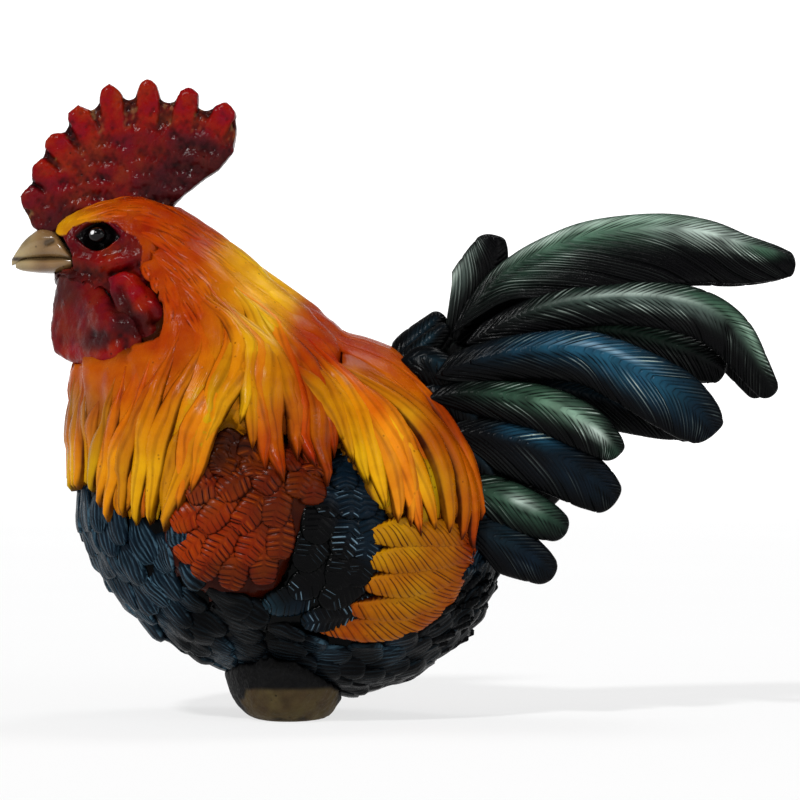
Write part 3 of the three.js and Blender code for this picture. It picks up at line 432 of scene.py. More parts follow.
def varnished(name, wash, rub_and_highlight, rub_and_highlight_share, washed=0.9, gloss=(0.15, 0.32), coat=0.0, lines=0.3,
              grain=0.2, uneven=0.1, shine=0.05, crest=0.2, dim=0.03):
    """Hand-painted resin: paint, a dark wash in the grooves, a light colour over the ridges that is partly
    dry brush and partly painted highlight, varnish
    """
    material, tree = fresh(name)
    wash, rub_and_highlight = (*PAINT[wash], 1.0), (*PAINT[rub_and_highlight], 1.0)
    place = node(tree, "TexCoord").outputs["Object"]
    paint = stored(tree, "paint", "Color")
    carve = stored(tree, "carve", "Fac")
    strand = {0: stored(tree, "strand", "Vector"), 1: HAIR_SCALE}
    hair = node(tree, "VectorMath", strand, operation="MULTIPLY").outputs[0]
    cloud = noise(tree, place, CLOUD_SCALE, 4.0)
    speck = noise(tree, place, SPECK_SCALE, 3.0)
    fine = noise(tree, hair, 1.0, 3.0)
    cells = node(tree, "TexVoronoi", {"Vector": place, "Scale": PIT_SCALE}).outputs["Distance"]
    pits = ranged(tree, cells, 0.05, 0.14, 1.0, 0.0)
    light = ranged(tree, cloud, *CLOUD, 1 - uneven, 1 + uneven)
    hue = ranged(tree, cloud, *CLOUD, 0.5 - uneven * 0.06, 0.5 + uneven * 0.06)
    base = node(tree, "HueSaturation", {"Color": paint, "Value": light, "Hue": hue}).outputs["Color"]
    deep = ranged(tree, carve, -0.9, 0.1, washed, 0.0)
    deep = times(tree, deep, ranged(tree, cloud, *CLOUD, 1.15, 0.75))
    base = mixed(tree, deep, base, wash)
    # The light colour over the crests is partly dry-brushed paint and partly a painted highlight, where
    # light catches the ridges
    bright = node(tree, "RGBToBW", {"Color": paint}).outputs["Val"]
    rub_and_highlight_mask = ranged(tree, carve, crest, 1.0, 0.0, rub_and_highlight_share)
    rub_and_highlight_mask = times(tree, rub_and_highlight_mask, ranged(tree, fine, 0.38, 0.62, 0.1, 1.2))
    rub_and_highlight_mask = times(tree, rub_and_highlight_mask, ranged(tree, bright, 0.0015, 0.02, dim, 1.0))
    base = mixed(tree, rub_and_highlight_mask, base, rub_and_highlight)
    base = mixed(tree, times(tree, pits, ranged(tree, cloud, 0.5, 0.6, 0.0, 0.7)), base, wash)
    skin = node(tree, "Math", {0: speck, 1: times(tree, pits, 0.8)}, operation="SUBTRACT").outputs[0]
    height = {"Height": fine, "Strength": lines, "Distance": LINE_DEPTH}
    height = {"Normal": node(tree, "Bump", height).outputs[0]}
    height |= {"Height": skin, "Strength": grain, "Distance": GRAIN_DEPTH}
    shaded(tree, {
        "Base Color": base, "Roughness": ranged(tree, speck, *CLOUD, *gloss),
        "Normal": node(tree, "Bump", height).outputs[0], "Coat Weight": coat, "Coat Roughness": 0.14,
        "Specular IOR Level": shine,
    })
    return material


HACKLE_PAINT = varnished("hackle_paint", "umber", "yellow", 0.15)
BLACK_PAINT = varnished("black_paint", "ink", "haze", 1.8, shine=0.03, crest=0.1)
COVERT_PAINT = varnished("covert_paint", "dark_rust", "orange", 0.4, 1.0, crest=0.3)
# The steel on the bar, the silver on the tail and the rose on the red skin also stand for painted
# highlights on the crests
BAR_PAINT = varnished("bar_paint", "ink", "steel", 2.4, 1.0, crest=0.5, dim=0.25)
GOLD_PAINT = varnished("gold_paint", "dark_gold", "yellow", 0.15, 1.0)
TAIL_PAINT = varnished("tail_paint", "ink", "silver", 1.1, 1.0, crest=0.4)
RED_PAINT = varnished("red_paint", "maroon", "rose", 0.08, 0.95, (0.14, 0.3), 0.03,
                      lines=0.08, grain=0.6, uneven=0.16, shine=0.06)
HORN_PAINT = varnished("horn_paint", "dark_horn", "cream", 0.25, 0.9, (0.16, 0.28), 0.3,
                       lines=0.15, grain=0.15, shine=0.3)
EYE_PAINT = varnished("eye_paint", "ink", "slate", 0.0, 0.9, (0.05, 0.09), 0.1,
                      lines=0.0, grain=0.02, shine=0.15)
STUB_PAINT = varnished("stub_paint", "dirt", "cream", 0.12, 0.9, (0.55, 0.85),
                       lines=0.0, grain=0.9, uneven=0.25, shine=0.1)


# Feathers
BARB_RINGS = [0.0, 0.15, 0.5, 0.85]  # rings of one barb: its groove, rise, crest and fall
BARB_SHIFT = 0.25  # how far a barb strays from its even place, as a share of the pitch
SEEDS = 9973  # the seeds of the feathers' own random draws stay under this
TIP_FALL = 0.8  # mm at the tip over which a feather comes down


def barb_rings(count, ident):
    """Shares of a feather's length for its rings, with grooves and crests of uneven strength there"""
    chance = np.random.default_rng(int(ident * 1000) % SEEDS + count)
    phase = np.append((np.arange(count)[:, None] + BARB_RINGS).ravel(), count)
    barb = np.rint(phase).astype(int)
    shift = np.append(np.insert(chance.uniform(-BARB_SHIFT, BARB_SHIFT, count - 1), 0, 0), 0)[barb]
    strong = chance.uniform(0.25, 1.0, count + 1)[barb]
    groove = np.append(np.tile([1.0, 0.0, 0.0, 0.0], count), 1.0)
    crest = np.append(np.tile([0.0, 0.0, 1.0, 0.0], count), 0.0)
    return ((phase + shift) / count)[:, None], (groove * strong)[:, None], (crest * strong)[:, None]


def feather(casting, skin, spine, half, proud, paint, crown=0.3, columns=11, hairs=0.0, hair=0.18,
            barbs=0.0, barb=0.2, slant=0.0, rachis=0.0, sink=1.1, drop=0.9, both=False, ident=0.0,
            edge=0.6, ink=1.0, stem=0.0, rings=22):
    """A closed feather on the skin, in mm. half and proud give its half width and height at a
    share of its length. crown is the height of its arch. hairs counts its fine lines, and hair
    is their height. barbs is the distance between barbs, barb their depth, and slant how far
    they lean ahead of the stem, along which its rings run. rachis is the stem's height, and
    stem its place across. sink is how deep the feather's underside goes, and drop how far its
    edges come down. edge and ink say how dark the paint lies at the edges and in the lines."""
    long = np.linalg.norm(np.diff(spine, axis=0), axis=-1).sum()
    t, groove, crest = np.linspace(0, 1, rings)[:, None], 0.0, 0.0
    if barbs:
        t, groove, crest = barb_rings(max(round(long / barbs), 3), ident)
    n = len(t)
    _, normal = skin.snap(spine)
    forward = unit(np.gradient(spine, axis=0))
    side = np.cross(normal, forward)
    s = np.concatenate([[-1], np.linspace(-0.9, 0.9, columns - 2), [1]])[None, :]

    def spread(s):
        place = np.minimum(t + np.abs(s - stem) * half(t) * slant / long, 1 - 0.1 * (1 - t))
        lane = half(place) * s
        return place, lane, along(spine, place) + unit(along(side, place)) * lane[..., None]

    place, lane, base = spread(s)
    top, up = skin.snap(base)
    lift = proud(place) + crown * (1 - s**2)
    carve = np.zeros((n, columns))
    if hairs:
        lines = ridge(s * hairs / 2 + 0.25 * np.sin(6 * place + ident) + ident)
        lift += hair * lines * smooth(place, 0.0, 0.25) * (1 - smooth(place, 0.7, 1.0))
        carve += (lines - 0.55) * 1.3 * ink * smooth(place, 0.0, 0.2)
    if barbs:
        open_vane = smooth(np.abs(s - stem), 0.02, 0.2)
        lift += barb * (0.3 * crest - groove) * open_vane
        carve += (0.9 * crest - 1.3 * groove) * open_vane
    off_stem = lane - stem * half(place)
    if rachis:
        shaft = np.exp(-((off_stem / 0.4) ** 2)) * (1 - place)
        lift += rachis * shaft
        carve += shaft * 0.5
    end = smooth(place * long, long - TIP_FALL, long)
    lift = lift - drop * np.maximum(smooth(np.abs(s), 0.91, 1.0), end)
    carve = carve - edge * np.maximum(smooth(np.abs(s), 0.76, 1.0), smooth(place, 0.94, 1.0))
    carve = carve - 0.4 * ink * (1 - smooth(place, 0, 0.15))
    top = top + up * lift[..., None]
    under_place, _, under = spread(np.array([[0.8, 0, -0.8]]))
    under = under - unit(along(normal, under_place)) * sink
    closed = np.concatenate([top, under], 1)
    colour = paint(closed)
    carve = np.concatenate([carve, np.full((n, 3), -1.0)], 1)
    grain = (np.broadcast_to(t * long, lane.shape), np.abs(off_stem)) if barbs else (lane, place * long)
    strand = np.stack([*grain, np.full(lane.shape, ident)], -1)
    strand = np.concatenate([strand, np.zeros((n, 3, 3))], 1)
    for turned in (False, True) if both else (False,):
        casting.loft(mirrored(closed) if turned else closed, colour, carve, strand)


def hung(width, root=0.5, widest=0.5, point=2.6, blunt=0.75):
    """Half widths of a long lock that ends in a soft point"""
    return lambda t: (
        width / 2 * (root + (1 - root) * smooth(t, 0, widest)) * np.maximum(1 - t**point, 0.004) ** blunt
    )


def rounded(width, root=0.45, widest=0.55):
    """Half widths of a short feather with a round end"""
    def half(t):
        over = np.clip((t - widest) / (1 - widest), 0, 0.998)
        return width / 2 * (root + (1 - root) * smooth(t, 0, widest)) * np.sqrt(1 - over**2.4)

    return half


def faded(width):
    """Half widths of a strand that starts and ends as a fine point"""
    return lambda t: width / 2 * np.maximum(np.sin(math.pi * np.clip(t, 0, 1)), 0.004) ** 0.7


def thinned(spots, way, across, lengthwise):
    """Some of the spots, so that no two are closer than that across and along the feathers"""
    kept = np.zeros((0, 3))
    for spot in spots:
        if len(kept):
            apart = kept - spot
            ahead = way(spot)
            down = apart @ ahead
            over = (apart**2).sum(-1) - down**2
            if ((down / lengthwise) ** 2 + over / across**2 < 1).any():
                continue
        kept = np.vstack([kept, spot])
    return kept


def inside(points, outline):
    """Which points lie in an outline of pixels, as the camera or its mirror image sees them"""
    p = flat(points)
    corner = np.array(outline, float)
    after = np.roll(corner, -1, 0)
    x, y = p[..., 0, None], p[..., 1, None]
    crosses = (corner[:, 1] > y) != (after[:, 1] > y)
    with np.errstate(divide="ignore", invalid="ignore"):
        at = corner[:, 0] + (y - corner[:, 1]) * (after[:, 0] - corner[:, 0]) / (after[:, 1] - corner[:, 1])
    return (crosses & (x < at)).sum(-1) % 2 == 1


# Skins that the feathers lie on
SIDES = ("left", "right")
# Least distance between feathers, across and along them, in mm
NECK_APART, SADDLE_APART, SCALES_APART = (3.7, 22), (3.4, 18), (4.6, 4.8)
VENT_APART, CROWN_APART = (2.6, 4), (1.9, 7)
FACE_SUNK = 5  # mm that the neck's bed lies deeper behind the face
wing_nodes = [f"{n}_{s}" for s in SIDES for n in ("wing_coverts", "wing_bar")]
primary_nodes = [f"primary_{i}_{s}" for s in SIDES for i in range(1, 6)]
body_nodes = ["torso", "neck_cape", "saddle_cape", "head"]
whole = Skin(*solid_copy(body_nodes + wing_nodes + primary_nodes, 1.1, 7))

HACKLE_LIES = combed([
    (90, 212, 1, -0.25), (120, 205, 1, -0.05), (148, 210, 1, 0.25), (168, 225, 1, 0.7),
    (185, 215, 1, 0.5), (205, 230, 1, 0.75), (178, 250, 0.9, 1), (198, 275, 0.6, 1),
    (160, 290, 0.3, 1), (170, 330, 0, 1), (155, 360, -0.25, 1), (215, 305, 0.6, 1),
    (228, 333, 0.12, 1), (226, 360, -0.3, 1), (212, 385, -0.5, 1), (240, 275, 0.9, 1),
    (262, 300, 0.7, 1), (273, 325, 0.45, 1), (280, 350, 0.1, 1), (258, 335, 0.3, 1),
    (264, 358, -0.15, 1), (252, 378, -0.4, 1), (243, 405, -0.2, 1), (280, 380, 0.1, 1),
    (286, 420, 0.1, 1), (275, 460, 0.1, 1), (300, 345, 0.5, 1), (316, 390, 0.2, 1), (320, 440, 0, 1),
    (300, 315, 1, 0.8), (330, 335, 1, 0.7), (120, 375, -0.1, 1), (142, 370, -0.1, 1),
    (138, 405, -0.3, 1), (115, 440, -0.45, 1), (104, 470, -0.1, 1), (175, 385, -0.5, 1),
    (165, 425, -0.6, 1), (150, 460, -0.4, 1), (195, 425, -0.5, 1), (180, 465, -0.15, 1),
    (100, 380, -0.4, 1), (85, 420, -0.2, 1), (82, 460, 0.1, 1), (225, 450, -0.2, 1),
])
SADDLE_LIES = combed([
    (330, 335, 1, 0.7), (355, 350, 1, 0.6), (385, 352, 1, 0.5), (345, 395, 0.35, 1),
    (365, 375, 0.8, 1), (400, 385, 0.8, 1), (350, 440, 0.4, 1), (368, 480, 0.4, 1),
    (385, 440, 0.35, 1), (395, 480, 0.1, 1), (405, 520, 0, 1), (420, 420, 0.55, 1),
    (432, 460, 0.35, 1), (440, 510, 0.3, 1), (450, 440, 0.45, 1), (466, 490, 0.15, 1),
    (468, 530, -0.2, 1),
])
HACKLE_COLOUR = sprayed(
    1.5,
    yellow=[(66, 216, 16), (238, 262, 12), (275, 305, 10), (212, 410, 15), (190, 440, 16),
        (115, 470, 18), (150, 475, 18), (250, 400, 13)],
    orange=[(100, 206, 16), (120, 375, 22), (150, 385, 18), (212, 330, 14), (272, 420, 13),
        (300, 430, 14)],
    flame=[(135, 203, 20), (170, 212, 20), (190, 225, 20), (150, 250, 24), (170, 300, 24),
        (195, 290, 20), (175, 345, 20), (268, 465, 12), (292, 340, 15), (320, 340, 16), (310, 375, 13),
        (288, 480, 12)],
    amber=[(222, 282, 14), (240, 330, 12), (232, 365, 14), (205, 375, 16), (160, 425, 16),
        (130, 430, 18), (98, 430, 12), (246, 430, 12), (275, 375, 13), (205, 470, 13)],
    sun=[(255, 290, 14), (262, 335, 14)],
    tan=[(84, 410, 12)],
    ember=[(318, 450, 14)],
)
SADDLE_COLOUR = sprayed(
    1.4,
    flame=[(330, 338, 16), (360, 352, 18), (465, 535, 14)],
    orange=[(395, 372, 14), (425, 440, 14), (445, 460, 14), (465, 500, 12)],
    amber=[(345, 385, 14), (345, 425, 16), (372, 400, 14), (445, 510, 15), (430, 530, 14)],
    yellow=[(365, 450, 15), (385, 480, 15), (425, 480, 14)],
    sun=[(398, 440, 14), (405, 500, 15)],
    ember=[(455, 420, 12)],
)

# Outlines in the photograph: the bare face with wattle and lobe, and how far the neck's and
# the saddle's feathers reach
FACE = [(56, 236), (66, 234), (73, 226), (84, 222), (101, 221), (116, 223), (126, 232), (136, 236),
        (142, 246), (142, 256), (140, 268), (150, 283), (160, 300), (167, 314), (164, 326), (160, 336),
        (146, 342), (130, 346), (128, 362), (112, 371), (90, 373), (70, 366), (55, 350), (48, 330),
        (48, 300), (52, 268)]
NECK_REACH = [(60, 150), (230, 150), (400, 290), (348, 335), (338, 400), (334, 452), (326, 488),
              (317, 472), (306, 456), (296, 466), (284, 483), (268, 474), (252, 452), (244, 428),
              (219, 413), (204, 440), (205, 470), (196, 492), (178, 512), (168, 531), (150, 525),
              (138, 526), (124, 519), (110, 523), (100, 504), (90, 488), (50, 478), (30, 300)]
SADDLE_REACH = [(296, 300), (345, 310), (410, 330), (450, 380), (485, 440), (485, 520), (469, 551),
                (446, 536), (432, 532), (418, 538), (396, 526), (384, 510), (366, 485), (352, 463),
                (340, 440), (330, 400), (310, 350)]
NECK_TIPS = [
    # pixel of the tip, length, width
    (97, 492, 24, 4.5), (104, 507, 26, 5), (112, 521, 28, 5), (125, 517, 28, 5),
    (138, 525, 30, 5.5), (153, 523, 30, 5.5), (168, 530, 32, 6), (180, 511, 32, 6), (192, 495, 32, 6),
    (200, 476, 30, 5), (205, 450, 28, 5), (214, 422, 26, 4.5), (240, 424, 26, 5), (252, 450, 30, 5.5),
    (266, 472, 34, 6.5), (284, 482, 36, 7.5), (297, 463, 34, 6), (306, 456, 32, 5), (315, 470, 34, 6),
    (326, 487, 36, 7), (334, 458, 32, 5.5),
]
FRONT_TIPS = [
    # distance from the middle plane, height, length, width in mm
    (21, 47.5, 24, 5), (16.5, 46, 24, 5.5), (12, 48, 25, 5), (8, 46, 26, 5.5), (4, 48.5, 25, 5),
    (0.6, 46.5, 26, 5),
]
SADDLE_TIPS = [
    # pixel of the tip, length, width
    (344, 446, 22, 4.5), (353, 463, 24, 5), (367, 485, 26, 5.5), (384, 509, 30, 6), (396, 524, 32, 6),
    (408, 528, 30, 5), (418, 536, 36, 7), (432, 531, 30, 5.5), (445, 534, 32, 6), (457, 541, 30, 5.5),
    (468, 549, 30, 6), (475, 520, 26, 5),
]
PICTURE = [(0, 0), (800, 0), (800, 800), (0, 800)]


def trimmed(spine, reach, barred=()):
    """A line up to where it leaves an outline or enters a barred one, or nothing if that is near"""
    stray = ~inside(spine, reach)
    for outline in barred:
        stray |= inside(spine, outline)
    if not stray.any():
        return spine
    last = stray.argmax()
    if last < 6:
        return None
    return along(spine[:last], np.linspace(0, 1, len(spine)))


STREAM_LONG, STREAM_WIDE = (34, 54), (4.4, 6.2)  # mm
STREAM_SHIFT = [-0.3, -0.5, -0.3], [0.15, 0.4, 0.0]  # how far its red, green and blue may shift
HEM_TINT = [0.8, 0.65, 0.8], [1.1, 1.2, 1.0]  # least and most share of red, green and blue
HEM_DRAWN, HEM_BROAD = 1.55, 1.2  # a lock's true length and width, as shares of the stated ones
BED_SUNK = 2.0  # mm, where the locks don't reach


def streams(piece, chance, seeds, way, colour, reach, barred=()):
    """Long soft locks that run into each other, broader and deeper further down"""
    for number, seed in enumerate(seeds):
        low = 1 - smooth(seed[2], 52, 80)
        spine = whole.walk(seed, way, chance.uniform(*STREAM_LONG), 28, chance, 0.06 + 0.14 * low)
        spine = trimmed(spine, reach, barred)
        if spine is None:
            continue
        width = chance.uniform(*STREAM_WIDE) + chance.uniform(0.2, 2.2) * low
        height = 0.5 + 0.6 * low * chance.uniform(0.4, 1.4)
        tint = (1 + chance.uniform(*STREAM_SHIFT) * (0.25 + 0.75 * low)) * (1 - 0.2 * low)
        feather(piece, whole, spine, faded(width),
                lambda t: -0.65 + (0.1 + height) * np.sin(math.pi * t) ** 0.8,
                lambda p: colour(p) * tint, crown=0.15 + 0.5 * low, hairs=width / 2.4,
                hair=0.02 + 0.12 * low, ident=number * 0.37, drop=0.45 + 0.35 * low,
                edge=0.05 + 1.3 * low, ink=0.08 + 0.7 * low)


def hem(piece, chance, tips, way, colour, lift):
    """The locks at the lower edge, each drawn back from its tip, on both sides"""
    for number, (spot, long, width) in enumerate(tips):
        spine = whole.walk(spot, lambda p: -way(p), HEM_DRAWN * long, 36, chance, 0.16)
        spine = trimmed(spine, PICTURE, [FACE])[::-1]
        tint = chance.uniform(*HEM_TINT) * 0.92
        feather(piece, whole, spine, hung(HEM_BROAD * width, 0.2, 0.75, 3.0, 0.7),
                lambda t: -1.2 + (0.5 + lift) * smooth(t, 0.0, 0.7), lambda p: colour(p) * tint,
                crown=1.0, columns=13, hairs=width / 2.8, hair=0.16, ident=number * 0.83, edge=1.3,
                both=True, sink=0.45 + lift, ink=0.6)


def cape(node_name, voxel, relax, reach, colour, low):
    """The bed that a cape's locks lie on, sunk where they don't reach and darkened lower down with painted
    shade
    """
    points, quads = solid_copy([node_name], voxel, relax)
    hidden = ~inside(points, reach) & (points[:, 2] < low)
    depth = 0.08 + 0.25 * (1 - smooth(points[:, 2], 58, 88))
    _, out = whole.snap(points)
    points = raised(points, quads, -depth) - out * hidden[:, None] * BED_SUNK
    # painted shade: the bed turns to umber towards the bottom
    shade = 0.7 * (1 - smooth(points[:, 2], 50, 72))
    return points, quads, blend(colour(points), PAINT["umber"], shade)


def hackle():
    """The neck's bed, its locks, and the rows of tips in front and at both sides"""
    chance = np.random.default_rng(5)
    piece = Casting("hackle", "orange_varnish", HACKLE_PAINT, "neck_cape")
    points, quads, colour = cape("neck_cape", 1.0, 4, NECK_REACH, HACKLE_COLOUR, 75)
    bare = inside(points, FACE) * smooth(np.abs(points[:, 1]), 2, 6) * smooth(points[:, 2], 73, 79)
    points[:, 1] -= np.sign(points[:, 1]) * bare * FACE_SUNK
    # painted shade: behind the face the sunk bed is darkened towards umber, as shade in the gap
    colour = blend(colour, PAINT["umber"] * 0.6, bare)
    piece.shell(points, quads, colour, -0.1)

    def wanted(p):
        return inside(p, NECK_REACH) & ~inside(p, FACE) & (p[..., 2] < 109)

    seeds = thinned(whole.scatter(chance, 9000, wanted), HACKLE_LIES, *NECK_APART)
    streams(piece, chance, seeds, HACKLE_LIES, HACKLE_COLOUR, NECK_REACH, [FACE])
    front = [(np.array([-60.0, -y, z]), long, width) for y, z, long, width in FRONT_TIPS]
    hem(piece, chance, front, HACKLE_LIES, HACKLE_COLOUR, 1.35)
    tips = [(whole.seen(px, py), long, width) for px, py, long, width in NECK_TIPS]
    hem(piece, chance, tips, HACKLE_LIES, HACKLE_COLOUR, 1.7)
    piece.build()


def cast(name, slot, material, node_name, points, quads, height, colour, carve):
    """A whole piece made of one skin, raised by a height along its normals"""
    piece = Casting(name, slot, material, node_name)
    piece.shell(raised(points, quads, height), quads, colour, carve, flow_strand(points))
    piece.build()


def saddle():
    """The saddle's bed and locks, with its row of tips over the wings"""
    chance = np.random.default_rng(8)
    piece = Casting("saddle_feathers", "gold_varnish", HACKLE_PAINT, "saddle_cape")
    points, quads, colour = cape("saddle_cape", 0.9, 5, SADDLE_REACH, SADDLE_COLOUR, 70)
    piece.shell(points, quads, colour, -0.3)

    def wanted(p):
        return inside(p, SADDLE_REACH)

    seeds = thinned(whole.scatter(chance, 5000, wanted), SADDLE_LIES, *SADDLE_APART)
    streams(piece, chance, seeds, SADDLE_LIES, SADDLE_COLOUR, SADDLE_REACH)
    tips = [(whole.seen(px, py), long, width) for px, py, long, width in SADDLE_TIPS]
    hem(piece, chance, tips, SADDLE_LIES, SADDLE_COLOUR, 2.2)
    piece.build()


# Breast, belly and vent
BREAST_LIES = combed([
    (90, 480, 0.05, 1), (100, 520, 0.15, 1), (115, 560, 0.4, 1), (150, 600, 0.8, 1), (130, 520, 0.3, 1),
    (160, 570, 0.6, 1), (190, 630, 1, 0.7), (240, 650, 1, 0.35), (300, 650, 1, 0.1), (220, 610, 1, 0.6),
    (350, 660, 1, -0.05), (400, 650, 1, -0.15), (450, 630, 1, -0.3), (480, 600, 1, -0.5),
    (495, 570, 0.6, -1), (480, 520, 0.5, 0.4), (490, 460, 0.6, 0.3), (470, 400, 0.7, 0.3),
])


def black_body():
    """The dark bed of the body, scales over breast and belly, and ragged fluff at the vent"""
    chance = np.random.default_rng(3)
    piece = Casting("breast_and_belly", "black_varnish", BLACK_PAINT, "torso")
    points, quads = solid_copy(["torso"], 1.0, 8)
    piece.shell(raised(points, quads, -0.3), quads, PAINT["black"], -0.5)
    piece.build()
    scales = {s: Casting(f"body_scales_{s}", "black_varnish", BLACK_PAINT) for s in SIDES}
    colour = sprayed(
        navy=[(90, 500, 22), (110, 560, 22), (150, 610, 22), (150, 540, 20), (330, 652, 12),
            (395, 648, 10), (225, 655, 12), (470, 560, 10)],
        black=[(200, 640, 26), (270, 655, 26), (340, 670, 26), (420, 650, 26), (480, 600, 26),
            (480, 500, 26), (250, 620, 20)],
    )
    covered = [(40, 440), (160, 430), (340, 400), (380, 350), (470, 430), (478, 560), (463, 600),
               (434, 630), (388, 644), (335, 647), (296, 634), (255, 612), (215, 596), (188, 566),
               (176, 526), (120, 498), (90, 478)]

    def wanted(p):
        return (p[..., 2] > 5.5) & (p[..., 2] < 50) & ~inside(p, covered) & (p[..., 0] < 44)

    seeds = thinned(whole.scatter(chance, 9000, wanted), BREAST_LIES, *SCALES_APART)
    for number, seed in enumerate(seeds):
        width = chance.uniform(6.6, 8.4)
        spine = trimmed(whole.walk(seed, BREAST_LIES, chance.uniform(8.5, 11), 14), PICTURE, [covered])
        if spine is None:
            continue
        height = 0.85 * chance.uniform(0.7, 1.25)
        shape = rounded(width) if chance.random() < 0.5 else hung(width, 0.6, 0.5, 3.0, 0.6)
        feather(scales["left" if seed[1] < 0 else "right"], whole, spine, shape,
                lambda t: -0.5 + height * smooth(t, 0, 0.9), colour, crown=0.25, columns=15,
                hairs=chance.uniform(4.5, 6.5), hair=0.22, ident=number * 0.7, drop=0.8, edge=-0.35,
                ink=chance.uniform(0.9, 1.6), rings=12)
    vent = [(440, 596), (468, 560), (486, 530), (512, 540), (512, 620), (480, 650), (430, 664), (415, 640)]
    ragged = whole.scatter(chance, 1500, lambda p: inside(p, vent))
    ragged = thinned(ragged, BREAST_LIES, *VENT_APART)
    for number, seed in enumerate(ragged):
        spine = whole.walk(seed, BREAST_LIES, chance.uniform(5, 8), 10)
        height = chance.uniform(0.6, 2.2)
        feather(scales["left" if seed[1] < 0 else "right"], whole, spine, hung(chance.uniform(2.4, 3.8)),
                lambda t: -0.5 + height * t**1.5, colour, crown=0.3, columns=7, barbs=1.3, barb=0.25,
                slant=0.8, ident=number * 0.9, edge=0.2)
    for s in SIDES:
        scales[s].build()


# Wing: coverts, bar and long feathers, laid from the lowest to the top one
WING_SIDE = -36.0  # mm, beside the left wing
COVERT_PETALS = [
    # x, z of a feather's root and of its tip
    ((-12.1, 40.1), (-18.6, 28.8)), ((-8.6, 39.2), (-11.8, 26.6)), ((-4.4, 41), (-4.4, 28)),
    ((-14.2, 41.4), (-23.2, 33.5)), ((-8.8, 43.2), (-16, 33.6)), ((-3.4, 44.2), (-8.8, 33.4)),
    ((-0.4, 46), (-1.6, 34)), ((-14.1, 45.7), (-24, 41)), ((-9.3, 48.2), (-17, 40.5)),
    ((-3.2, 49), (-9.8, 40.2)), ((-0.4, 51.6), (-2.6, 40.8)), ((-12, 51), (-20.5, 47)),
    ((-5.5, 53.5), (-13.5, 47)), ((0, 56), (-5.5, 47.6)), ((4.5, 56), (2, 46.5)), ((6, 54), (5.5, 45)),
    ((-8, 57), (-14.5, 53)), ((-2, 60), (-8.5, 54.5)), ((3.5, 60), (-0.5, 53)), ((7.5, 58), (6, 51.5)),
    ((-14, 58), (-21, 49)), ((-10.8, 60), (-13.5, 51)), ((-6.2, 60), (-6.4, 50.5)),
]
BAR_PLUMES = [
    # pixel of the tip, a step right and down along the feather, length and width in mm
    (262, 606, -1, 0.25, 20, 8), (300, 622, -1, 0.1, 24, 8), (288, 594, -0.9, 0.5, 18, 8),
    (320, 606, -0.8, 0.6, 22, 9), (300, 572, -0.5, 1, 18, 8.5), (332, 590, -0.5, 1, 20, 9),
    (352, 588, -0.35, 1, 18, 8.5), (312, 545, -0.35, 1, 17, 8.5), (340, 560, -0.35, 1, 18, 9),
    (362, 562, -0.2, 1, 16, 8.5), (372, 545, 0.0, 1, 14, 7.5), (325, 518, -0.3, 1, 13, 8),
    (350, 520, -0.1, 1, 15, 9), (368, 520, 0.2, 1, 13, 8), (346, 492, 0, 1, 8, 7),
]
PRIMARY_LINES = [
    # pixels along each long feather, from the lowest to the top one
    [(308, 624), (348, 630), (396, 628), (434, 611), (462, 582)],
    [(340, 608), (374, 612), (410, 608), (444, 592), (468, 568)],
    [(358, 583), (386, 586), (414, 583), (448, 574), (472, 558)],
    [(362, 560), (388, 561), (414, 558), (446, 555), (474, 550)],
    [(362, 536), (388, 534), (416, 532), (448, 534), (472, 538)],
]


def back_from(px, py, right, down, length, n):
    """A feather's line whose tip the camera sees at that pixel"""
    tip = whole.seen(px, py)
    way = unit(np.array([-right, 0.0, down], float))
    return whole.walk(tip, lambda _: way, length, n)[::-1]


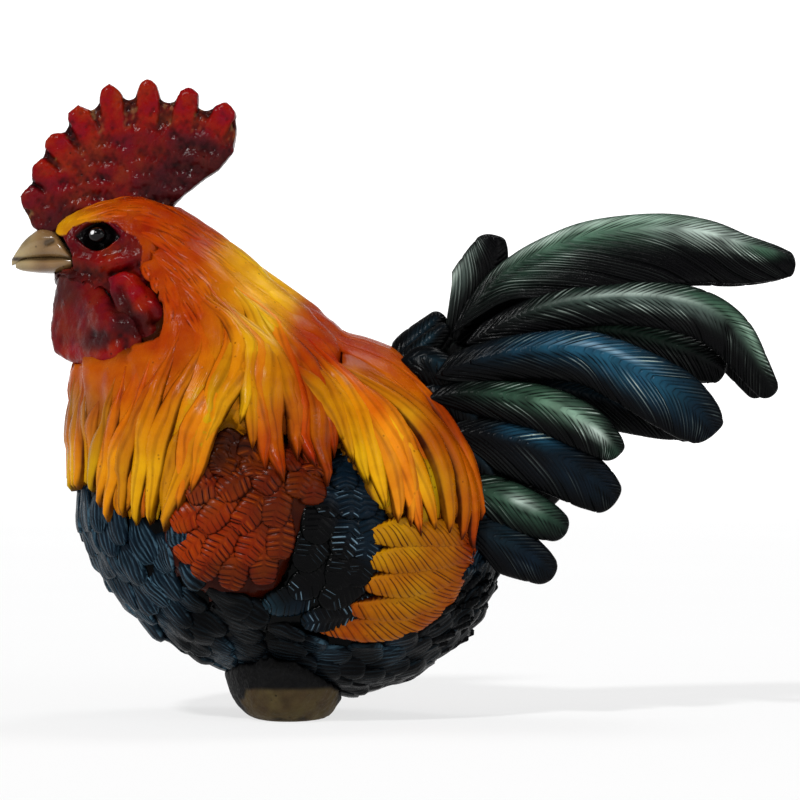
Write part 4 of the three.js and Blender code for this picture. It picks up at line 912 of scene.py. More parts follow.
def wings():
    """Rust petals, the dark bar behind them, and the five golden feathers of each side"""
    coverts, bars = {}, {}
    for s in SIDES:
        coverts[s] = Casting(f"covert_feathers_{s}", "rust_varnish", COVERT_PAINT, f"wing_coverts_{s}")
        bars[s] = Casting(f"bar_feathers_{s}", "blue_varnish", BAR_PAINT, f"wing_bar_{s}")
    rust = sprayed(
        flame=[(180, 540, 20)],
        ember=[(220, 520, 24), (250, 545, 14)],
        brick=[(270, 520, 20), (220, 590, 20), (270, 580, 20), (300, 500, 20), (235, 480, 14)],
        umber=[(215, 450, 16)],
        rust=[(205, 500, 10)],
    )
    blue = sprayed(
        navy=[(345, 490, 12), (350, 522, 10), (300, 618, 12), (370, 545, 10)],
        black=[(310, 560, 20), (330, 605, 18), (300, 530, 16), (340, 570, 18), (330, 520, 14),
            (280, 595, 10)],
        slate=[(262, 606, 14)],
    )
    beds = (coverts, "wing_coverts", PAINT["brick"] * 0.5), (bars, "wing_bar", PAINT["black"])
    for castings, name, colour in beds:
        for s in SIDES:
            points, quads = solid_copy([f"{name}_{s}"], 0.8, 3)
            castings[s].shell(raised(points, quads, -0.4), quads, colour, -0.6)
    for number, ends in enumerate(COVERT_PETALS):
        ends = np.array([[x, WING_SIDE, z] for x, z in ends])
        spine, _ = whole.snap(along(ends, np.linspace(0, 1, 16)))
        side_feathers(coverts, spine, rounded(6.8, 0.6), lambda t: -0.9 + 1.15 * smooth(t, 0, 0.8),
                      lambda p: rust(p) * 0.72, crown=0.7, columns=13, barbs=1.05, barb=0.26,
                      slant=0.25, sink=2.4, drop=1.7, ident=number * 0.53, edge=1.5)
    for number, (px, py, right, down, long, wide) in enumerate(BAR_PLUMES):
        spine = back_from(px, py, right, down, long, 16)
        side_feathers(bars, spine, rounded(wide, 0.6, 0.6), lambda t: -2.2 + 2.3 * smooth(t, 0, 0.9),
                      blue, crown=0.6, columns=13, barbs=1.15, barb=0.3, slant=0.35, sink=3.2,
                      ident=number * 0.61, edge=1.2)
    for s in SIDES:
        coverts[s].build()
        bars[s].build()
    gold = sprayed(
        yellow=[(370, 545, 18), (400, 540, 20), (410, 598, 16)],
        amber=[(440, 540, 18), (400, 575, 18), (440, 575, 18), (380, 600, 16), (390, 622, 18)],
        flame=[(470, 545, 12), (465, 570, 12)],
        orange=[(450, 598, 14), (350, 625, 16), (425, 620, 14)],
    )
    for number, line in enumerate(PRIMARY_LINES):
        spots = np.array([whole.seen(*p) for p in line])
        spine, _ = whole.snap(along(spots, np.linspace(0, 1, 24)))
        height = -0.7 + 0.2 * number
        for s in SIDES:
            name = f"{5 - number}_{s}"
            piece = Casting(f"long_feather_{name}", "gold_varnish", GOLD_PAINT, f"primary_{name}")
            side_feathers({s: piece}, spine, rounded(7.2, 0.4, 0.4),
                          lambda t: height + 0.5 * smooth(t, 0, 0.5) - 1.6 * (1 - smooth(t, 0, 0.14)),
                          lambda p: gold(p) * 0.58, crown=0.6, columns=15, barbs=1.3, barb=0.22,
                          slant=0.9, rachis=0.2, sink=2.4, ident=number * 0.9, edge=1.3,
                          stem=0.7 if s == "left" else -0.7)
            piece.build()


def side_feathers(castings, spine, half, proud, paint, **form):
    """The same feather in the castings of the left and the right side"""
    for s, casting in castings.items():
        feather(casting, whole, spine if s == "left" else mirrored(spine), half, proud, paint, **form)


# Tail plumes. Each path row is x, distance from the middle plane, z, half width, thickness, lean.
TAIL = {
    "tail_blue": ("blue_varnish", [
        (31, 11, 70.5, 3.5, 8, 0), (39, 13, 73.5, 4.4, 8, 0), (49.6, 14.6, 75.4, 4.9, 6.5, 5),
        (60.9, 15.6, 75.1, 5.6, 5.4, 5), (69.3, 16, 71.8, 6.2, 5, 3), (78.5, 15.6, 66.8, 6.6, 4.4, 0),
        (84.3, 15, 62.2, 5.4, 3.6, 0), (87, 14.6, 58.8, 2.2, 2.4, 0)]),
    "tail_green": ("green_varnish", [
        (29, 12, 66, 2.6, 7, 0), (36, 13.6, 67, 3.4, 8, 0), (44, 14.8, 66.2, 4.2, 6.8, 3),
        (52.3, 15.6, 64.6, 4.8, 5.6, 5), (60.3, 15.6, 61, 4.8, 4.8, 3), (65.5, 15, 57.2, 3.6, 3.6, 0),
        (67.6, 14.6, 54.6, 1.5, 2.4, 0)]),
    "tail_navy": ("blue_varnish", [
        (31, 11.5, 59, 4, 8, 0), (40, 12.6, 58, 5.4, 8, 0), (48.1, 13.4, 55.9, 6.3, 6.6, 0),
        (56.5, 13.6, 52.4, 6.3, 5.2, 0), (63, 13.2, 48.4, 5.2, 4, 0), (67.2, 13, 44.9, 2, 2.6, 0)]),
    "tail_moss": ("green_varnish", [
        (33, 12.5, 48, 3.5, 7, -5), (41, 13.6, 46.5, 4.6, 7, -5), (47.5, 14.2, 43.8, 4.8, 6, -5),
        (53.3, 14.2, 41.2, 4, 4.6, -5), (57.3, 13.8, 39.1, 1.6, 2.6, -5)]),
    "tail_under": ("blue_varnish", [
        (33, 11.5, 40, 4.5, 7, -8), (40, 12.4, 38, 5.4, 7, -8), (46, 13, 35.2, 5.4, 6, -8),
        (51, 12.8, 32.4, 4.2, 4.4, -8), (54.6, 12.4, 29.8, 1.6, 2.6, -8)]),
    "sickle_top": ("green_varnish", [
        (35, 3.8, 79, 3, 5, 20), (44, 5, 87.5, 6, 5, 25), (50, 6, 91.3, 7.4, 4.6, 28),
        (57, 6.6, 94.3, 8.2, 4.2, 28), (65, 7, 96.8, 8.4, 4, 27), (77, 7.4, 97.8, 8.4, 3.8, 25),
        (86, 7.4, 97.4, 7.4, 3.6, 23), (94, 7, 95.8, 5.8, 3.4, 22), (101, 6.5, 95, 4, 3, 20),
        (105.3, 6, 94.6, 1.4, 2, 20)]),
    "sickle_second": ("green_varnish", [
        (37, 6.5, 77, 3, 6, 10), (47, 8.4, 82, 4, 6, 12), (56, 10, 85, 4.4, 5, 15),
        (65.3, 11, 86.2, 4.6, 4.4, 15), (75.4, 11.6, 86.2, 5, 4, 12), (84.8, 11.8, 84.2, 5.1, 3.8, 8),
        (91.3, 11.6, 79.8, 4.8, 3.4, 5), (96, 11.2, 73.2, 3.6, 3, 0), (100, 11, 67.2, 1.3, 2, 0)]),
    "sickle_third": ("green_varnish", [
        (38, 5.5, 74, 3, 5, 0), (50, 6.6, 78.6, 4, 5, 0), (60, 7.6, 80.2, 4.2, 4.4, 0),
        (69, 8.4, 79.6, 4.4, 4, 0), (78.5, 8.8, 77, 4.4, 3.6, 0), (85.9, 8.8, 73.9, 3.8, 3.2, 0),
        (90.3, 8.8, 71.8, 1.3, 2, 0)]),
    "tail_hidden": ("black_varnish", [
        (40, 6.5, 67, 3.5, 5, 0), (52.3, 7.2, 68, 4.6, 5, 0), (64.9, 8, 65.6, 5, 4.6, 0),
        (77, 8.6, 62, 3.8, 3.8, 0), (83, 8.8, 60.2, 1.2, 2.4, 0)]),
}
UPRIGHT = [(30, 0, 74, 4.2, 7, 0), (34.6, 0, 83, 5.6, 7, 0), (39.2, 0, 91.5, 5.6, 6, 0),
           (41.6, 0, 97.5, 4.2, 5, 0), (42.2, 0, 101.2, 1.8, 3, 0)]
ROOT_TUFTS = [
    [(21, 0, 73, 3, 9, 0), (25, 0, 77, 3.8, 10, 0), (29, 0, 81, 3, 8, 0), (32, 0, 84.4, 1.2, 4, 0)],
    [(22, 4, 71, 2.6, 6, 10), (26, 5, 75, 3, 6, 10), (30, 5, 79, 2.4, 5, 10), (33, 5, 82, 0.8, 3, 10)],
]
SIDE_TUFTS = [
    [(23, 7, 72, 3, 6, 20), (28, 9.6, 73.5, 4.4, 6, 15), (33, 11, 71, 3.8, 5, 10),
     (37, 11.6, 68.6, 1.4, 3, 10)],
    [(26, 9, 67, 3, 6, 20), (31, 11.5, 67, 3.6, 6, 15), (36, 12.5, 64, 3, 5, 10), (39, 13, 61, 1, 3, 10)],
    [(30, 10, 58, 3, 6, 10), (35, 12.5, 57, 3.4, 6, 10), (39, 13, 53.5, 2.6, 5, 10),
     (42, 13, 50, 1, 3, 10)],
    [(31, 9, 48, 3, 6, 0), (36, 11.5, 46, 3.2, 6, 0), (40, 12.5, 42, 2.4, 5, 0), (43, 12.5, 38, 0.8, 3, 0)],
]
# Plume colours. The silver, mint and steel along the stems and upper edges are partly the feathers' own
# paint and partly painted sheen, a highlight where light falls
GLAZES_AND_SHEEN = {
    # paint, share along, its reach, place across from -1 below to 1 above, its reach
    "sickle_top": [("moss", 0.2, 0.16, 0.35, 0.5), ("green", 0.45, 0.2, 0.6, 0.36),
                   ("mint", 0.45, 0.2, 0.78, 0.2), ("silver", 0.36, 0.14, 0.84, 0.08),
                   ("silver", 0.68, 0.12, 0.5, 0.26), ("green", 0.83, 0.06, 0.45, 0.3)],
    "sickle_second": [("moss", 0.4, 0.2, 0.3, 0.45), ("pewter", 0.5, 0.2, 0.15, 0.35),
                      ("silver", 0.48, 0.16, 0.4, 0.12), ("green", 0.68, 0.12, 0.6, 0.3),
                      ("mint", 0.8, 0.08, 0.65, 0.2)],
    "sickle_third": [("moss", 0.5, 0.2, 0.5, 0.4)],
    "tail_hidden": [("slate", 0.5, 0.2, 0.5, 0.3)],
    "tail_blue": [("blue", 0.46, 0.2, 0.4, 0.5), ("blue", 0.64, 0.16, 0.1, 0.5),
                  ("navy", 0.85, 0.18, 0.0, 1.0), ("steel", 0.48, 0.1, 0.5, 0.08)],
    "tail_green": [("green", 0.5, 0.2, 0.35, 0.5), ("mint", 0.62, 0.12, 0.25, 0.3),
                   ("silver", 0.74, 0.08, 0.1, 0.2), ("moss", 0.92, 0.1, 0.0, 0.9)],
    "tail_navy": [("blue", 0.42, 0.12, 0.6, 0.25), ("navy", 0.7, 0.25, 0.1, 0.8)],
    "tail_moss": [("moss", 0.6, 0.3, 0.1, 0.9), ("green", 0.45, 0.22, 0.35, 0.5),
                  ("silver", 0.5, 0.1, 0.4, 0.2)],
    "tail_under": [("slate", 0.4, 0.15, 0.4, 0.4), ("navy", 0.7, 0.2, 0.1, 0.8)],
    "upright_feather": [("pewter", 0.5, 0.25, 0.7, 0.3), ("silver", 0.4, 0.15, 0.85, 0.12)],
    "tufts": [("slate", 0.6, 0.25, 0.3, 0.3)],
}


BARB_PITCH, BARB_DEPTH = 1.35, 0.3  # mm, on the tail


def glazed_and_shaded(points, place, near, glazes_and_sheen):
    """A plume's paint: patchy glaze colours over black, with painted shade at the root and along the lower
    edge
    """
    colour = np.broadcast_to(PAINT["black"], points.shape)
    patchy = np.clip(0.75 + 0.4 * ripple(points, 4, 61) + 0.25 * ripple(points, 1.5, 62), 0, 1)
    for paint, at, reach, side, width in glazes_and_sheen:
        share = np.exp(-(((place - at) / reach) ** 2) - ((near - side) / width) ** 2)
        colour = blend(colour, PAINT[paint], share * patchy)
    # painted shade: the root and the lower edge darken to black, where the feathers overlap and shade each
    # other
    dark = 0.85 * np.exp(-(((near + 1) / 0.5) ** 2)) + np.exp(-((place / 0.16) ** 2))
    return blend(colour, PAINT["black"], np.minimum(dark, 1))


def plume(casting, rows, s, glazes_and_sheen, slant=1.3, ident=0.0, stem_at=0.2, columns=19, tip=3.2):
    """A free tail feather with a stem and, cast in both faces, barbs that lean to its blunt tip"""
    rows = np.array(rows, float)
    hand = -1 if s == "left" else 1
    rows[:, 1] *= hand
    rows[-1, 3] = max(rows[-1, 3], 0.6 * rows[-2, 3])
    drawn = along(rows, np.linspace(0, 1, 80))[:, :3]
    long = np.linalg.norm(np.diff(drawn, axis=0), axis=-1).sum()
    count = round(long / BARB_PITCH)
    t, groove, crest = barb_rings(count, ident)
    near = np.sin(np.linspace(-1, 1, columns) * math.pi / 2)[None, :]
    waved = t + 0.3 * BARB_PITCH / long * np.sin(t * long / 4 + ident)
    place = np.repeat(waved, columns, 1)
    for _ in range(3):
        half = np.maximum(along(rows, place)[..., 3], 0.05)
        away = np.abs(near - stem_at) * half
        place = np.clip(waved + away * slant / long, 0, 1 - 0.1 * (1 - t))
    row = along(rows, place)
    end = np.sqrt(np.clip(1 - (np.maximum(place * long - long + tip, 0) / tip) ** 2, 0.003, 1))
    centre, half = row[..., :3], np.maximum(row[..., 3], 0.05) * end
    thick, tilt = np.maximum(row[..., 4], 0.3) * (0.3 + 0.7 * end), np.radians(row[..., 5])
    ahead = along(rows, np.minimum(place + 0.01, 1)) - along(rows, np.maximum(place - 0.01, 0))
    forward = unit(ahead[..., :3])
    face = np.stack([np.zeros_like(tilt), hand * np.cos(tilt), np.sin(tilt)], -1)
    across = unit(np.cross(forward, face)) * hand
    face = np.cross(across, forward)
    face = unit(face) * np.sign(face[..., 1:2] * hand)
    cleft = (1 - ridge(t * count / 7 + 0.3 * ident)) ** 8 * smooth(np.abs(near - stem_at), 0.4, 1.0)
    out = near * half * (1 - 0.012 * groove - 0.05 * cleft)
    stem = np.exp(-((away / 0.5) ** 2)) * (1 - 0.6 * place)
    beside = np.exp(-(((away - 1.1) / 0.45) ** 2))
    open_face = smooth(1 - np.abs(near), 0, 0.1) * smooth(away, 0.2, 0.9)
    rise = thick * 0.41 * np.sqrt(np.maximum(1 - near**2, 0))
    rise = rise + BARB_DEPTH * (0.25 * crest - groove) * open_face
    rise = rise + (0.3 * stem - 0.12 * beside) * end - 0.3 * cleft
    rise = np.maximum(rise, 0.05)
    front = centre + across * out[..., None] + face * rise[..., None]
    back = centre + across * out[..., None] - face * rise[..., None]
    carve = (crest - 1.3 * groove) * open_face + stem * 0.5 - cleft - 0.5 * beside
    carve = carve - 0.4 * smooth(np.abs(near), 0.85, 1.0)
    strand = np.stack([np.broadcast_to(t * long, away.shape), away, np.full(away.shape, ident)], -1)
    colour = glazed_and_shaded(front, place, near, glazes_and_sheen)
    faces = (front, back), (colour, colour), (carve, carve), (strand, strand)
    casting.loft(*(np.concatenate([one, other[:, -2:0:-1]], 1) for one, other in faces))


def tail():
    """The plumes of both sides, the upright one, the tufts at the root, and the bed"""
    for number, (name, (slot, rows)) in enumerate(TAIL.items()):
        stem_at, slant = (0.5, 2.0) if name == "sickle_top" else (0.25, 1.7)
        for s in SIDES:
            piece = Casting(f"{name}_plume_{s}", slot, TAIL_PAINT, f"{name}_{s}")
            plume(piece, rows, s, GLAZES_AND_SHEEN[name], slant=slant, ident=number * 1.3, stem_at=stem_at)
            piece.build()
    piece = Casting("upright_plume", "black_varnish", TAIL_PAINT, "upright_feather")
    plume(piece, UPRIGHT, "left", GLAZES_AND_SHEEN["upright_feather"], slant=1.8, stem_at=-0.4)
    piece.build()
    piece = Casting("root_tufts", "black_varnish", TAIL_PAINT, "root_covert")
    for k, rows in enumerate(ROOT_TUFTS):
        for s in SIDES if rows[0][1] else ("left",):
            plume(piece, rows, s, GLAZES_AND_SHEEN["tufts"], columns=11, ident=k + 0.3, tip=2)
    piece.build()
    for s in SIDES:
        piece = Casting(f"side_tufts_{s}", "black_varnish", TAIL_PAINT, f"side_covert_{s}")
        for k, rows in enumerate(SIDE_TUFTS):
            plume(piece, rows, s, GLAZES_AND_SHEEN["tufts"], columns=11, ident=k + 0.6, tip=2)
        piece.build()
    points, quads = solid_copy(["tail_core"], 0.9, 4)
    carve = ridge(points[:, 0] / 2.4 - points[:, 2] / 3.1 + 0.4 * ripple(points, 9, 4)) * 2 - 1
    cast("tail_bed", "black_varnish", TAIL_PAINT, "tail_core", points, quads, 0.2 * carve - 0.3,
         PAINT["black"], carve)


# Head, comb, beak, eyes, wattles and lobes
def near_line(points, a, b):
    """Distance in the side view from the stretch between pixels a and b, and the share along it"""
    p = flat(points) * PIXEL
    a, b = np.array(a, float) * PIXEL, np.array(b, float) * PIXEL
    t = np.clip(((p - a) @ (b - a)) / ((b - a) @ (b - a)), 0, 1)
    return np.linalg.norm(p - a - t[..., None] * (b - a), axis=-1), t


COMB_FINGERS = [
    # pixel of the tip and of the root
    ((28, 197), (46, 206)), ((39, 170), (62, 186)), ((55, 141), (80, 170)), ((78, 114), (98, 152)),
    ((110, 93), (117, 142)), ((149, 88), (146, 140)), ((189, 94), (178, 140)), ((226, 110), (208, 144)),
]
COMB_COLOUR = sprayed(
    crimson=[(40, 200, 16), (85, 170, 18), (120, 160, 18), (150, 150, 16), (110, 190, 16)],
    scarlet=[(60, 160, 16), (90, 120, 16), (120, 105, 16), (155, 105, 16), (190, 115, 14),
        (225, 120, 14)],
    plum=[(190, 150, 16), (160, 180, 18), (205, 160, 14), (50, 220, 14)],
)


KNOB, KNOB_TAPER = 2.7, 0.4  # mm: half width of a point of the comb, and how much it narrows inwards


def comb():
    """The comb, with a knob along each point, pits between them and folds lower down"""
    points, quads = solid_copy(["comb"], 0.5, 1, 1)
    lumps = ripple(points, 1.5, 21)
    finger = np.zeros(len(points))
    down = np.ones(len(points))
    nearest = np.full(len(points), 1e9)
    for tip, root in COMB_FINGERS:
        away, t = near_line(points, tip, root)
        away = np.maximum(away + 0.35 * lumps, 0)
        knob = np.sqrt(np.maximum(1 - (away / (KNOB - KNOB_TAPER * t)) ** 2, 0)) * (1 - 0.5 * t)
        finger = np.maximum(finger, knob)
        down = np.where(away < nearest, t, down)
        nearest = np.minimum(nearest, away)
    folds = ripple(points * [0.6, 1, 1.8], 4, 22)
    crumbs = ripple(points, 0.9, 23)
    band = smooth(down + 0.15 * folds, 0.95, 0.3)
    pit = band * smooth(finger + 0.15 * lumps, 0.6, 0.05)
    lift = band * (0.75 * finger - 0.1) - 0.6 * pit + (1 - band) * 0.4 * folds
    lift = lift + 0.18 * lumps + 0.1 * crumbs
    lift = lift * (0.35 + 0.65 * smooth(np.abs(normals_of(points, quads)[:, 1]), 0.2, 0.8))
    carve = band * (finger * 0.6 - 0.2) - 0.35 * pit + (1 - band) * 0.6 * folds
    carve = carve + lumps * 0.45 + crumbs * 0.35
    pit_colour = blend(PAINT["pit"], PAINT["crust"], smooth(lumps, 0.2, 0.7))
    colour = blend(COMB_COLOUR(points), pit_colour, 0.8 * pit)
    cast("comb_cast", "crimson_varnish", RED_PAINT, "comb", points, quads, lift, colour, carve)


RED_COLOUR = sprayed(
    crimson=[(75, 240, 12), (132, 250, 10), (80, 262, 12), (95, 290, 14), (100, 315, 12), (75, 320, 14),
        (58, 340, 9), (160, 315, 8), (150, 335, 8)],
    scarlet=[(110, 262, 12), (72, 358, 9), (100, 362, 9), (122, 348, 9), (128, 285, 8), (145, 300, 8)],
    plum=[(65, 290, 14), (95, 340, 9), (140, 325, 9), (118, 300, 7), (122, 320, 7)],
)
FACE_FOLDS = [
    # two pixels, width in mm, height in mm
    ((66, 256), (100, 264), 1.1, 0.5), ((100, 264), (140, 256), 1.2, 0.6),
    ((72, 274), (110, 276), 1.0, -0.5), ((112, 276), (142, 268), 1.0, -0.4),
    ((64, 244), (70, 228), 0.9, 0.3), ((126, 236), (141, 250), 1.1, 0.4),
]
LOBE_FOLDS = [
    ((119, 270), (163, 314), 1.0, 0.7), ((122, 288), (140, 338), 1.0, -0.6),
    ((130, 292), (152, 328), 0.9, 0.4), ((150, 324), (166, 322), 0.8, -0.7),
]
WATTLE_FOLDS = [
    ((112, 282), (126, 346), 1.6, -0.6), ((56, 352), (118, 356), 1.5, 0.5),
    ((92, 334), (116, 338), 1.1, -0.5), ((70, 280), (62, 330), 1.6, 0.25),
    ((92, 276), (100, 320), 1.4, 0.3),
]


def folded(points, folds):
    """Heights of raised and sunken folds along lines in the side view"""
    total = np.zeros(points.shape[:-1])
    for a, b, width, height in folds:
        away, _ = near_line(points, a, b)
        total += height * np.exp(-((away / width) ** 2))
    return total


def red_form(name, node_name, folds, seed, back, down, out):
    """A wattle or lobe, drawn out by shares backwards and down, and draped outwards by mm"""
    points, quads = solid_copy([node_name], 0.6, 4, 1)
    front, top = points[:, 0].min(), points[:, 2].max()
    drape = smooth(top - points[:, 2], 3, 12)
    points[:, 1] += np.sign(points[:, 1].mean()) * out * drape * smooth(points[:, 0] - front, 2, 12)
    points[:, 0] += (points[:, 0] - front) * back * drape
    points[:, 2] -= (top - points[:, 2]) * down
    lumps = ripple(points, 3.2, seed)
    small = ripple(points, 1.1, seed + 1)
    deep = folded(points, folds)
    lift = deep + 0.2 * lumps + 0.07 * small
    carve = deep + lumps * 0.25 + small * 0.2
    cast(name, "crimson_varnish", RED_PAINT, node_name, points, quads, lift, RED_COLOUR(points), carve)


EYE_AT = np.array([-39.8, -12.4, 100.5])
EYE_LONG, EYE_HIGH = 4.9, 2.9  # half of the dark almond round the eye
EYE_BEAD = 1.8  # radius in mm
BEAK_ROOT_HALF = 2.5  # half width of the head where the beak covers it


def head():
    """The bare face with its folds and lids, the crown's feathers, and all that the head carries"""
    points, quads = solid_copy(["head"], 1.0, 10, 2)
    red = inside(points, FACE).astype(float)
    off = flat(points) * PIXEL - flat(EYE_AT[None]) * PIXEL
    lid_line = EYE_HIGH * (1 - np.minimum(np.abs(off[:, 0]) / EYE_LONG, 1) ** 1.7)
    past = np.abs(off[:, 1]) - lid_line
    past = np.where(np.abs(off[:, 0]) < EYE_LONG, past, 9.0)
    dark = smooth(past, 0.35, -0.25)
    lid = np.exp(-(((past - 0.55) / 0.45) ** 2)) * red
    folds = folded(points, FACE_FOLDS)
    lumps = ripple(points, 2.0, 31)
    small = ripple(points, 0.9, 32)
    lift = red * (-0.4 + folds + 0.14 * lumps + 0.05 * small) - 0.6 * dark + 0.4 * lid
    moved = raised(points, quads, lift)
    root = inside(points, BEAK_ROOT)
    moved[root, 1] = np.clip(moved[root, 1], -BEAK_ROOT_HALF, BEAK_ROOT_HALF)
    skin_colour = blend(0.8 * RED_COLOUR(points), PAINT["black"] * 0.5, dark)
    colour = blend(HACKLE_COLOUR(points), skin_colour, red)
    colour[root] = PAINT["umber"] * 0.3
    carve = red * (folds * 1.1 + lumps * 0.3 + small * 0.25 - 0.15) * (1 - dark) - 0.15 * (1 - red)
    piece = Casting("head_cast", "orange_varnish", RED_PAINT, "head")
    piece.shell(moved, quads, colour, carve, flow_strand(points))
    piece.build()
    crown = Casting("crown_feathers", "orange_varnish", HACKLE_PAINT)
    chance = np.random.default_rng(17)

    def wanted(p):
        x, z = p[..., 0], p[..., 2]
        return (z > 88) & (z < 109.5) & ~inside(p, FACE) & (x > -50) & (x < -20)

    seeds = thinned(whole.scatter(chance, 4000, wanted), HACKLE_LIES, *CROWN_APART)
    for number, seed in enumerate(seeds):
        spine = whole.walk(seed, HACKLE_LIES, chance.uniform(9, 15), 16, chance, 0.1)
        spine = trimmed(spine, NECK_REACH, [FACE, BEAK_ROOT])
        if spine is None:
            continue
        feather(crown, whole, spine, faded(chance.uniform(2.0, 3.0)),
                lambda t: -0.3 + 0.25 * np.sin(math.pi * t), HACKLE_COLOUR, crown=0.12, columns=7,
                hairs=2.0, hair=0.08, ident=number * 0.3, edge=0.25, drop=0.35)
    crown.build()
    beak()
    for s in SIDES:
        red_form(f"wattle_cast_{s}", f"wattle_{s}", WATTLE_FOLDS, 41, 0.25, 0.0, 6)
        red_form(f"ear_lobe_cast_{s}", f"ear_lobe_{s}", LOBE_FOLDS, 43, 0.08, 0.2, 0.5)
        eye(s)


BEAK_ROOT = [(38, 222), (54, 231), (64, 239), (72, 256), (71, 272), (38, 277)]
# Beak halves: pixel across, top, bottom, half width in mm
UPPER_BEAK = [(74, 256, 262, 7.0), (70, 250, 261.5, 7.3), (64, 240.5, 261, 7.0), (57, 233, 260.5, 6.2),
              (50, 229.5, 260, 5.3), (41, 228.5, 259.5, 4.5), (32, 234, 259, 3.5), (24, 241, 260, 2.5),
              (17.5, 250, 263.5, 1.5), (12, 259, 265.5, 0.5)]
LOWER_BEAK = [(74, 255, 271, 6.6), (66, 254, 273, 6.2), (54, 255, 273.5, 5.0), (42, 255.5, 273, 3.7),
              (31, 256.5, 272, 2.7), (22, 259, 270.5, 1.7), (16, 261, 268, 0.7)]


def beak():
    """Both halves of the beak, with a nostril on each side and a dark seam between them"""
    for name, node_name, rows in (
        ("beak_upper_cast", "upper_beak", UPPER_BEAK),
        ("beak_lower_cast", "lower_beak", LOWER_BEAK),
    ):
        row = along(rows, np.linspace(0, 1, 70))
        x, top = photo(row[:, 0], row[:, 1])
        _, bottom = photo(row[:, 0], row[:, 2])
        turn = np.linspace(0, math.tau, 48, endpoint=False)[None, :]
        side = np.sign(np.cos(turn)) * np.abs(np.cos(turn)) ** 0.8
        rise = np.sign(np.sin(turn)) * np.abs(np.sin(turn)) ** 0.9
        y = row[:, 3:4] * side
        z = (top + bottom)[:, None] / 2 + (top - bottom)[:, None] / 2 * rise
        points = np.stack([np.broadcast_to(x[:, None], y.shape), y, z], -1)
        nostril, _ = near_line(points, (47, 243), (52, 241))
        hole = np.exp(-((nostril / 0.6) ** 2)) * smooth(np.abs(y), 1.5, 2.4)
        points[..., 1] *= 1 - 0.12 * hole
        tip = smooth(points[..., 0], -51, -58)
        seam = smooth(np.abs(points[..., 2] - photo(0, 259)[1]), 0.7, 0.1)
        colour = blend(PAINT["olive"], PAINT["horn"], tip)
        carve = 0.25 * ripple(points, 3, 5) - hole * 1.4 - seam
        piece = Casting(name, "horn_varnish", HORN_PAINT, node_name)
        piece.loft(points, colour, carve)
        piece.build()


def eye(s):
    """A bead with a bulging front, a narrow rim and a painted highlight, turned outwards"""
    hand = -1 if s == "left" else 1
    low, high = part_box(f"eye_{s}")
    middle = (np.array(low[:]) + np.array(high[:])) / 2 / MM
    _, normal = whole.snap(middle[None])
    out = unit(normal[0] + [0, hand * 1.0, 0])
    up = unit(np.array([0, 0, 1.0]) - out * out[2])
    right = np.cross(up, out)
    turn = np.linspace(0, math.tau, 40, endpoint=False)[:, None]
    circle = np.cos(turn) * right * 1.08 + np.sin(turn) * up * 0.94
    profile = [(-math.cos(a), math.sin(a)) for a in np.linspace(0.6, math.pi - 0.04, 14)]
    profile = along(profile, np.linspace(0, 1, 30)) * EYE_BEAD
    rings = np.array([middle + out * depth + circle * radius for depth, radius in profile])
    # painted highlight: a pale dot on the bead's upper front stands in for the reflection of a light
    painted_glint = middle + EYE_BEAD * unit(out + 0.25 * up - [0.22, 0, 0])
    painted_highlight = smooth(np.linalg.norm(rings - painted_glint, axis=-1), 0.55, 0.4)
    piece = Casting(f"eye_bead_{s}", "eye_gloss", EYE_PAINT, f"eye_{s}")
    piece.loft(rings, blend(PAINT["black"] * 0.4, 0.8, painted_highlight), 0.0)
    piece.build()


def stub():
    """The stub, black above and bare resin where the paint is worn at its lower edge"""
    points, quads = solid_copy(["stub"], 0.8, 3, 1)
    rough = ripple(points, 3, 51) * 0.12 + ripple(points, 1.3, 52) * 0.05
    rough = rough * smooth(points[:, 2], 0.2, 1.2)
    bare, _ = near_line(points, (262, 702), (320, 702))
    edge = bare + 0.8 * ripple(points, 3, 53)
    clean = smooth(edge, 4.4, 3.4) * (1 - smooth(points[:, 2], 6.5, 7.5))
    clean = np.maximum(clean, smooth(points[:, 2], 0.6, 0.2))
    colour = blend(PAINT["black"], PAINT["resin"], clean)
    carve = 0.2 * ripple(points, 2, 54)
    cast("stub_cast", "bare_resin", STUB_PAINT, "stub", points, quads, rough, colour, carve)


# Steel of the pins inside, which stay as they are
def steel():
    """Drawn steel with fine grey clouds"""
    material, tree = fresh("pin_steel_drawn")
    drawn = noise(tree, node(tree, "TexCoord").outputs["Object"], 900.0, 2.0)
    grey = node(tree, "ValToRGB", {"Fac": drawn}).outputs["Color"]
    base = mixed(tree, ranged(tree, drawn, *CLOUD, 0.0, 0.35), (0.62, 0.63, 0.65, 1.0), grey)
    rough = ranged(tree, drawn, *CLOUD, 0.25, 0.4)
    shaded(tree, {"Base Color": base, "Metallic": 1.0, "Roughness": rough})
    for name in ("neck_pin", "tail_pin_upper", "tail_pin_lower"):
        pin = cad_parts[name]
        pin.data.materials.clear()
        pin.data.materials.append(material)


for make in (hackle, saddle, black_body, wings, tail, comb, head, stub, steel):
    make()


# Studio: pale floor and wall, soft lights, camera at the photograph's angle
FLOOR_HALF = 2.6  # m
WALL_ROUND, WALL_HIGH, WALL_SIDES = 2.5, 0.8, 96
SUNS = [
    # direction of its place, strength, softness in degrees
    ("key", (-0.35, -0.62, 0.7), 2.2, 6), ("fill", (0.7, -0.6, 0.4), 0.7, 30),
    ("top", (0.25, 0.35, 0.9), 0.8, 20),
]


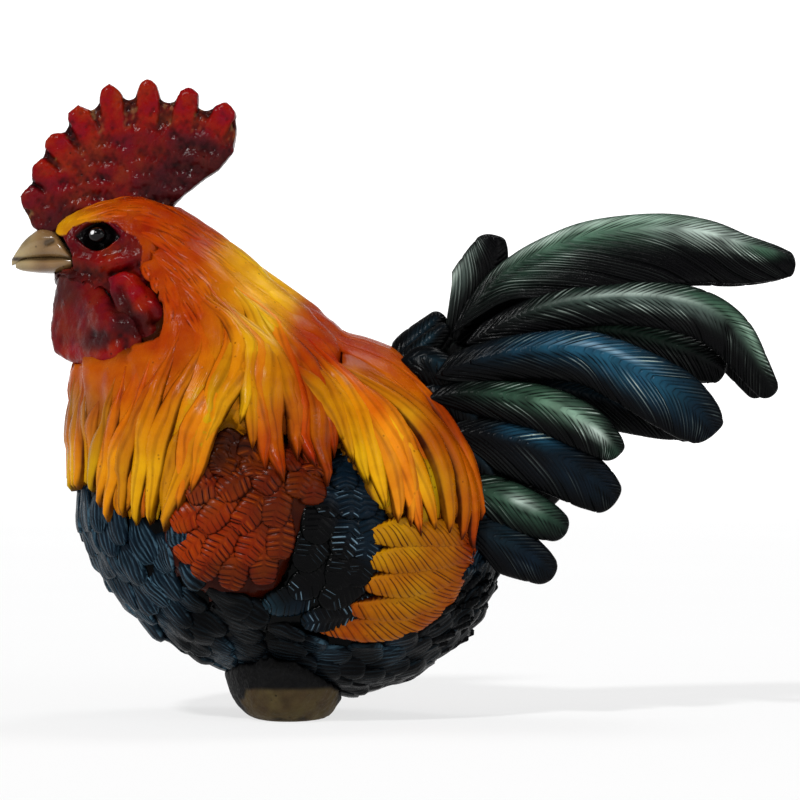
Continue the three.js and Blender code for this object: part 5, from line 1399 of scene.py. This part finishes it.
def stage_piece(name, corners, faces, low, high, glow):
    """A pale piece of the studio"""
    mesh = bpy.data.meshes.new(name)
    mesh.from_pydata(corners, [], faces)
    material, tree = fresh(f"{name}_paper")
    paper = noise(tree, node(tree, "TexCoord").outputs["Object"], 4.0, 2.0)
    base = mixed(tree, paper, (low, low, low, 1), (high, high, high, 1))
    shaded(tree, {
        "Base Color": base, "Roughness": 0.9, "Specular IOR Level": 0.0,
        "Emission Color": (1, 1, 1, 1), "Emission Strength": glow,
    })
    mesh.materials.append(material)
    placed(name, mesh)


def studio():
    """The paper floor and wall, a dim sky, three suns and the camera"""
    half, n = FLOOR_HALF, WALL_SIDES
    corners = [(-half, -half, 0), (half, -half, 0), (half, half, 0), (-half, half, 0)]
    stage_piece("floor", corners, [(0, 1, 2, 3)], 0.24, 0.26, 0.7)
    turns = np.linspace(0, math.tau, n, endpoint=False)
    ring = [(WALL_ROUND * math.cos(a), WALL_ROUND * math.sin(a), z) for z in (0, WALL_HIGH) for a in turns]
    faces = [(i, (i + 1) % n, n + (i + 1) % n, n + i) for i in range(n)]
    stage_piece("wall", ring, faces, 0.3, 0.32, 0.95)
    world = bpy.data.worlds.new("studio")
    bpy.context.scene.world = world
    world.use_nodes = True
    sky = world.node_tree.nodes["Background"].inputs
    sky["Color"].default_value = (0.97, 0.98, 1.0, 1)
    sky["Strength"].default_value = 0.25
    for name, place, strength, soft in SUNS:
        data = bpy.data.lights.new(name, "SUN")
        data.energy = strength
        data.angle = math.radians(soft)
        aim = -np.array(place)
        tilt = math.atan2(aim[2], math.hypot(aim[0], aim[1]))
        placed(name, data).rotation_euler = (math.pi / 2 + tilt, 0, math.atan2(-aim[0], aim[1]))
    data = bpy.data.cameras.new("camera")
    data.sensor_width = 36
    data.lens = 36 * CAMERA_AWAY / VIEW_WIDTH
    data.clip_end = 50
    camera = placed("camera", data)
    camera.location = (VIEW_X * MM, -CAMERA_AWAY * MM, VIEW_Z * MM)
    camera.rotation_euler = (math.pi / 2, 0, 0)
    bpy.context.scene.camera = camera
    bpy.context.scene.view_settings.view_transform = "Standard"


studio()
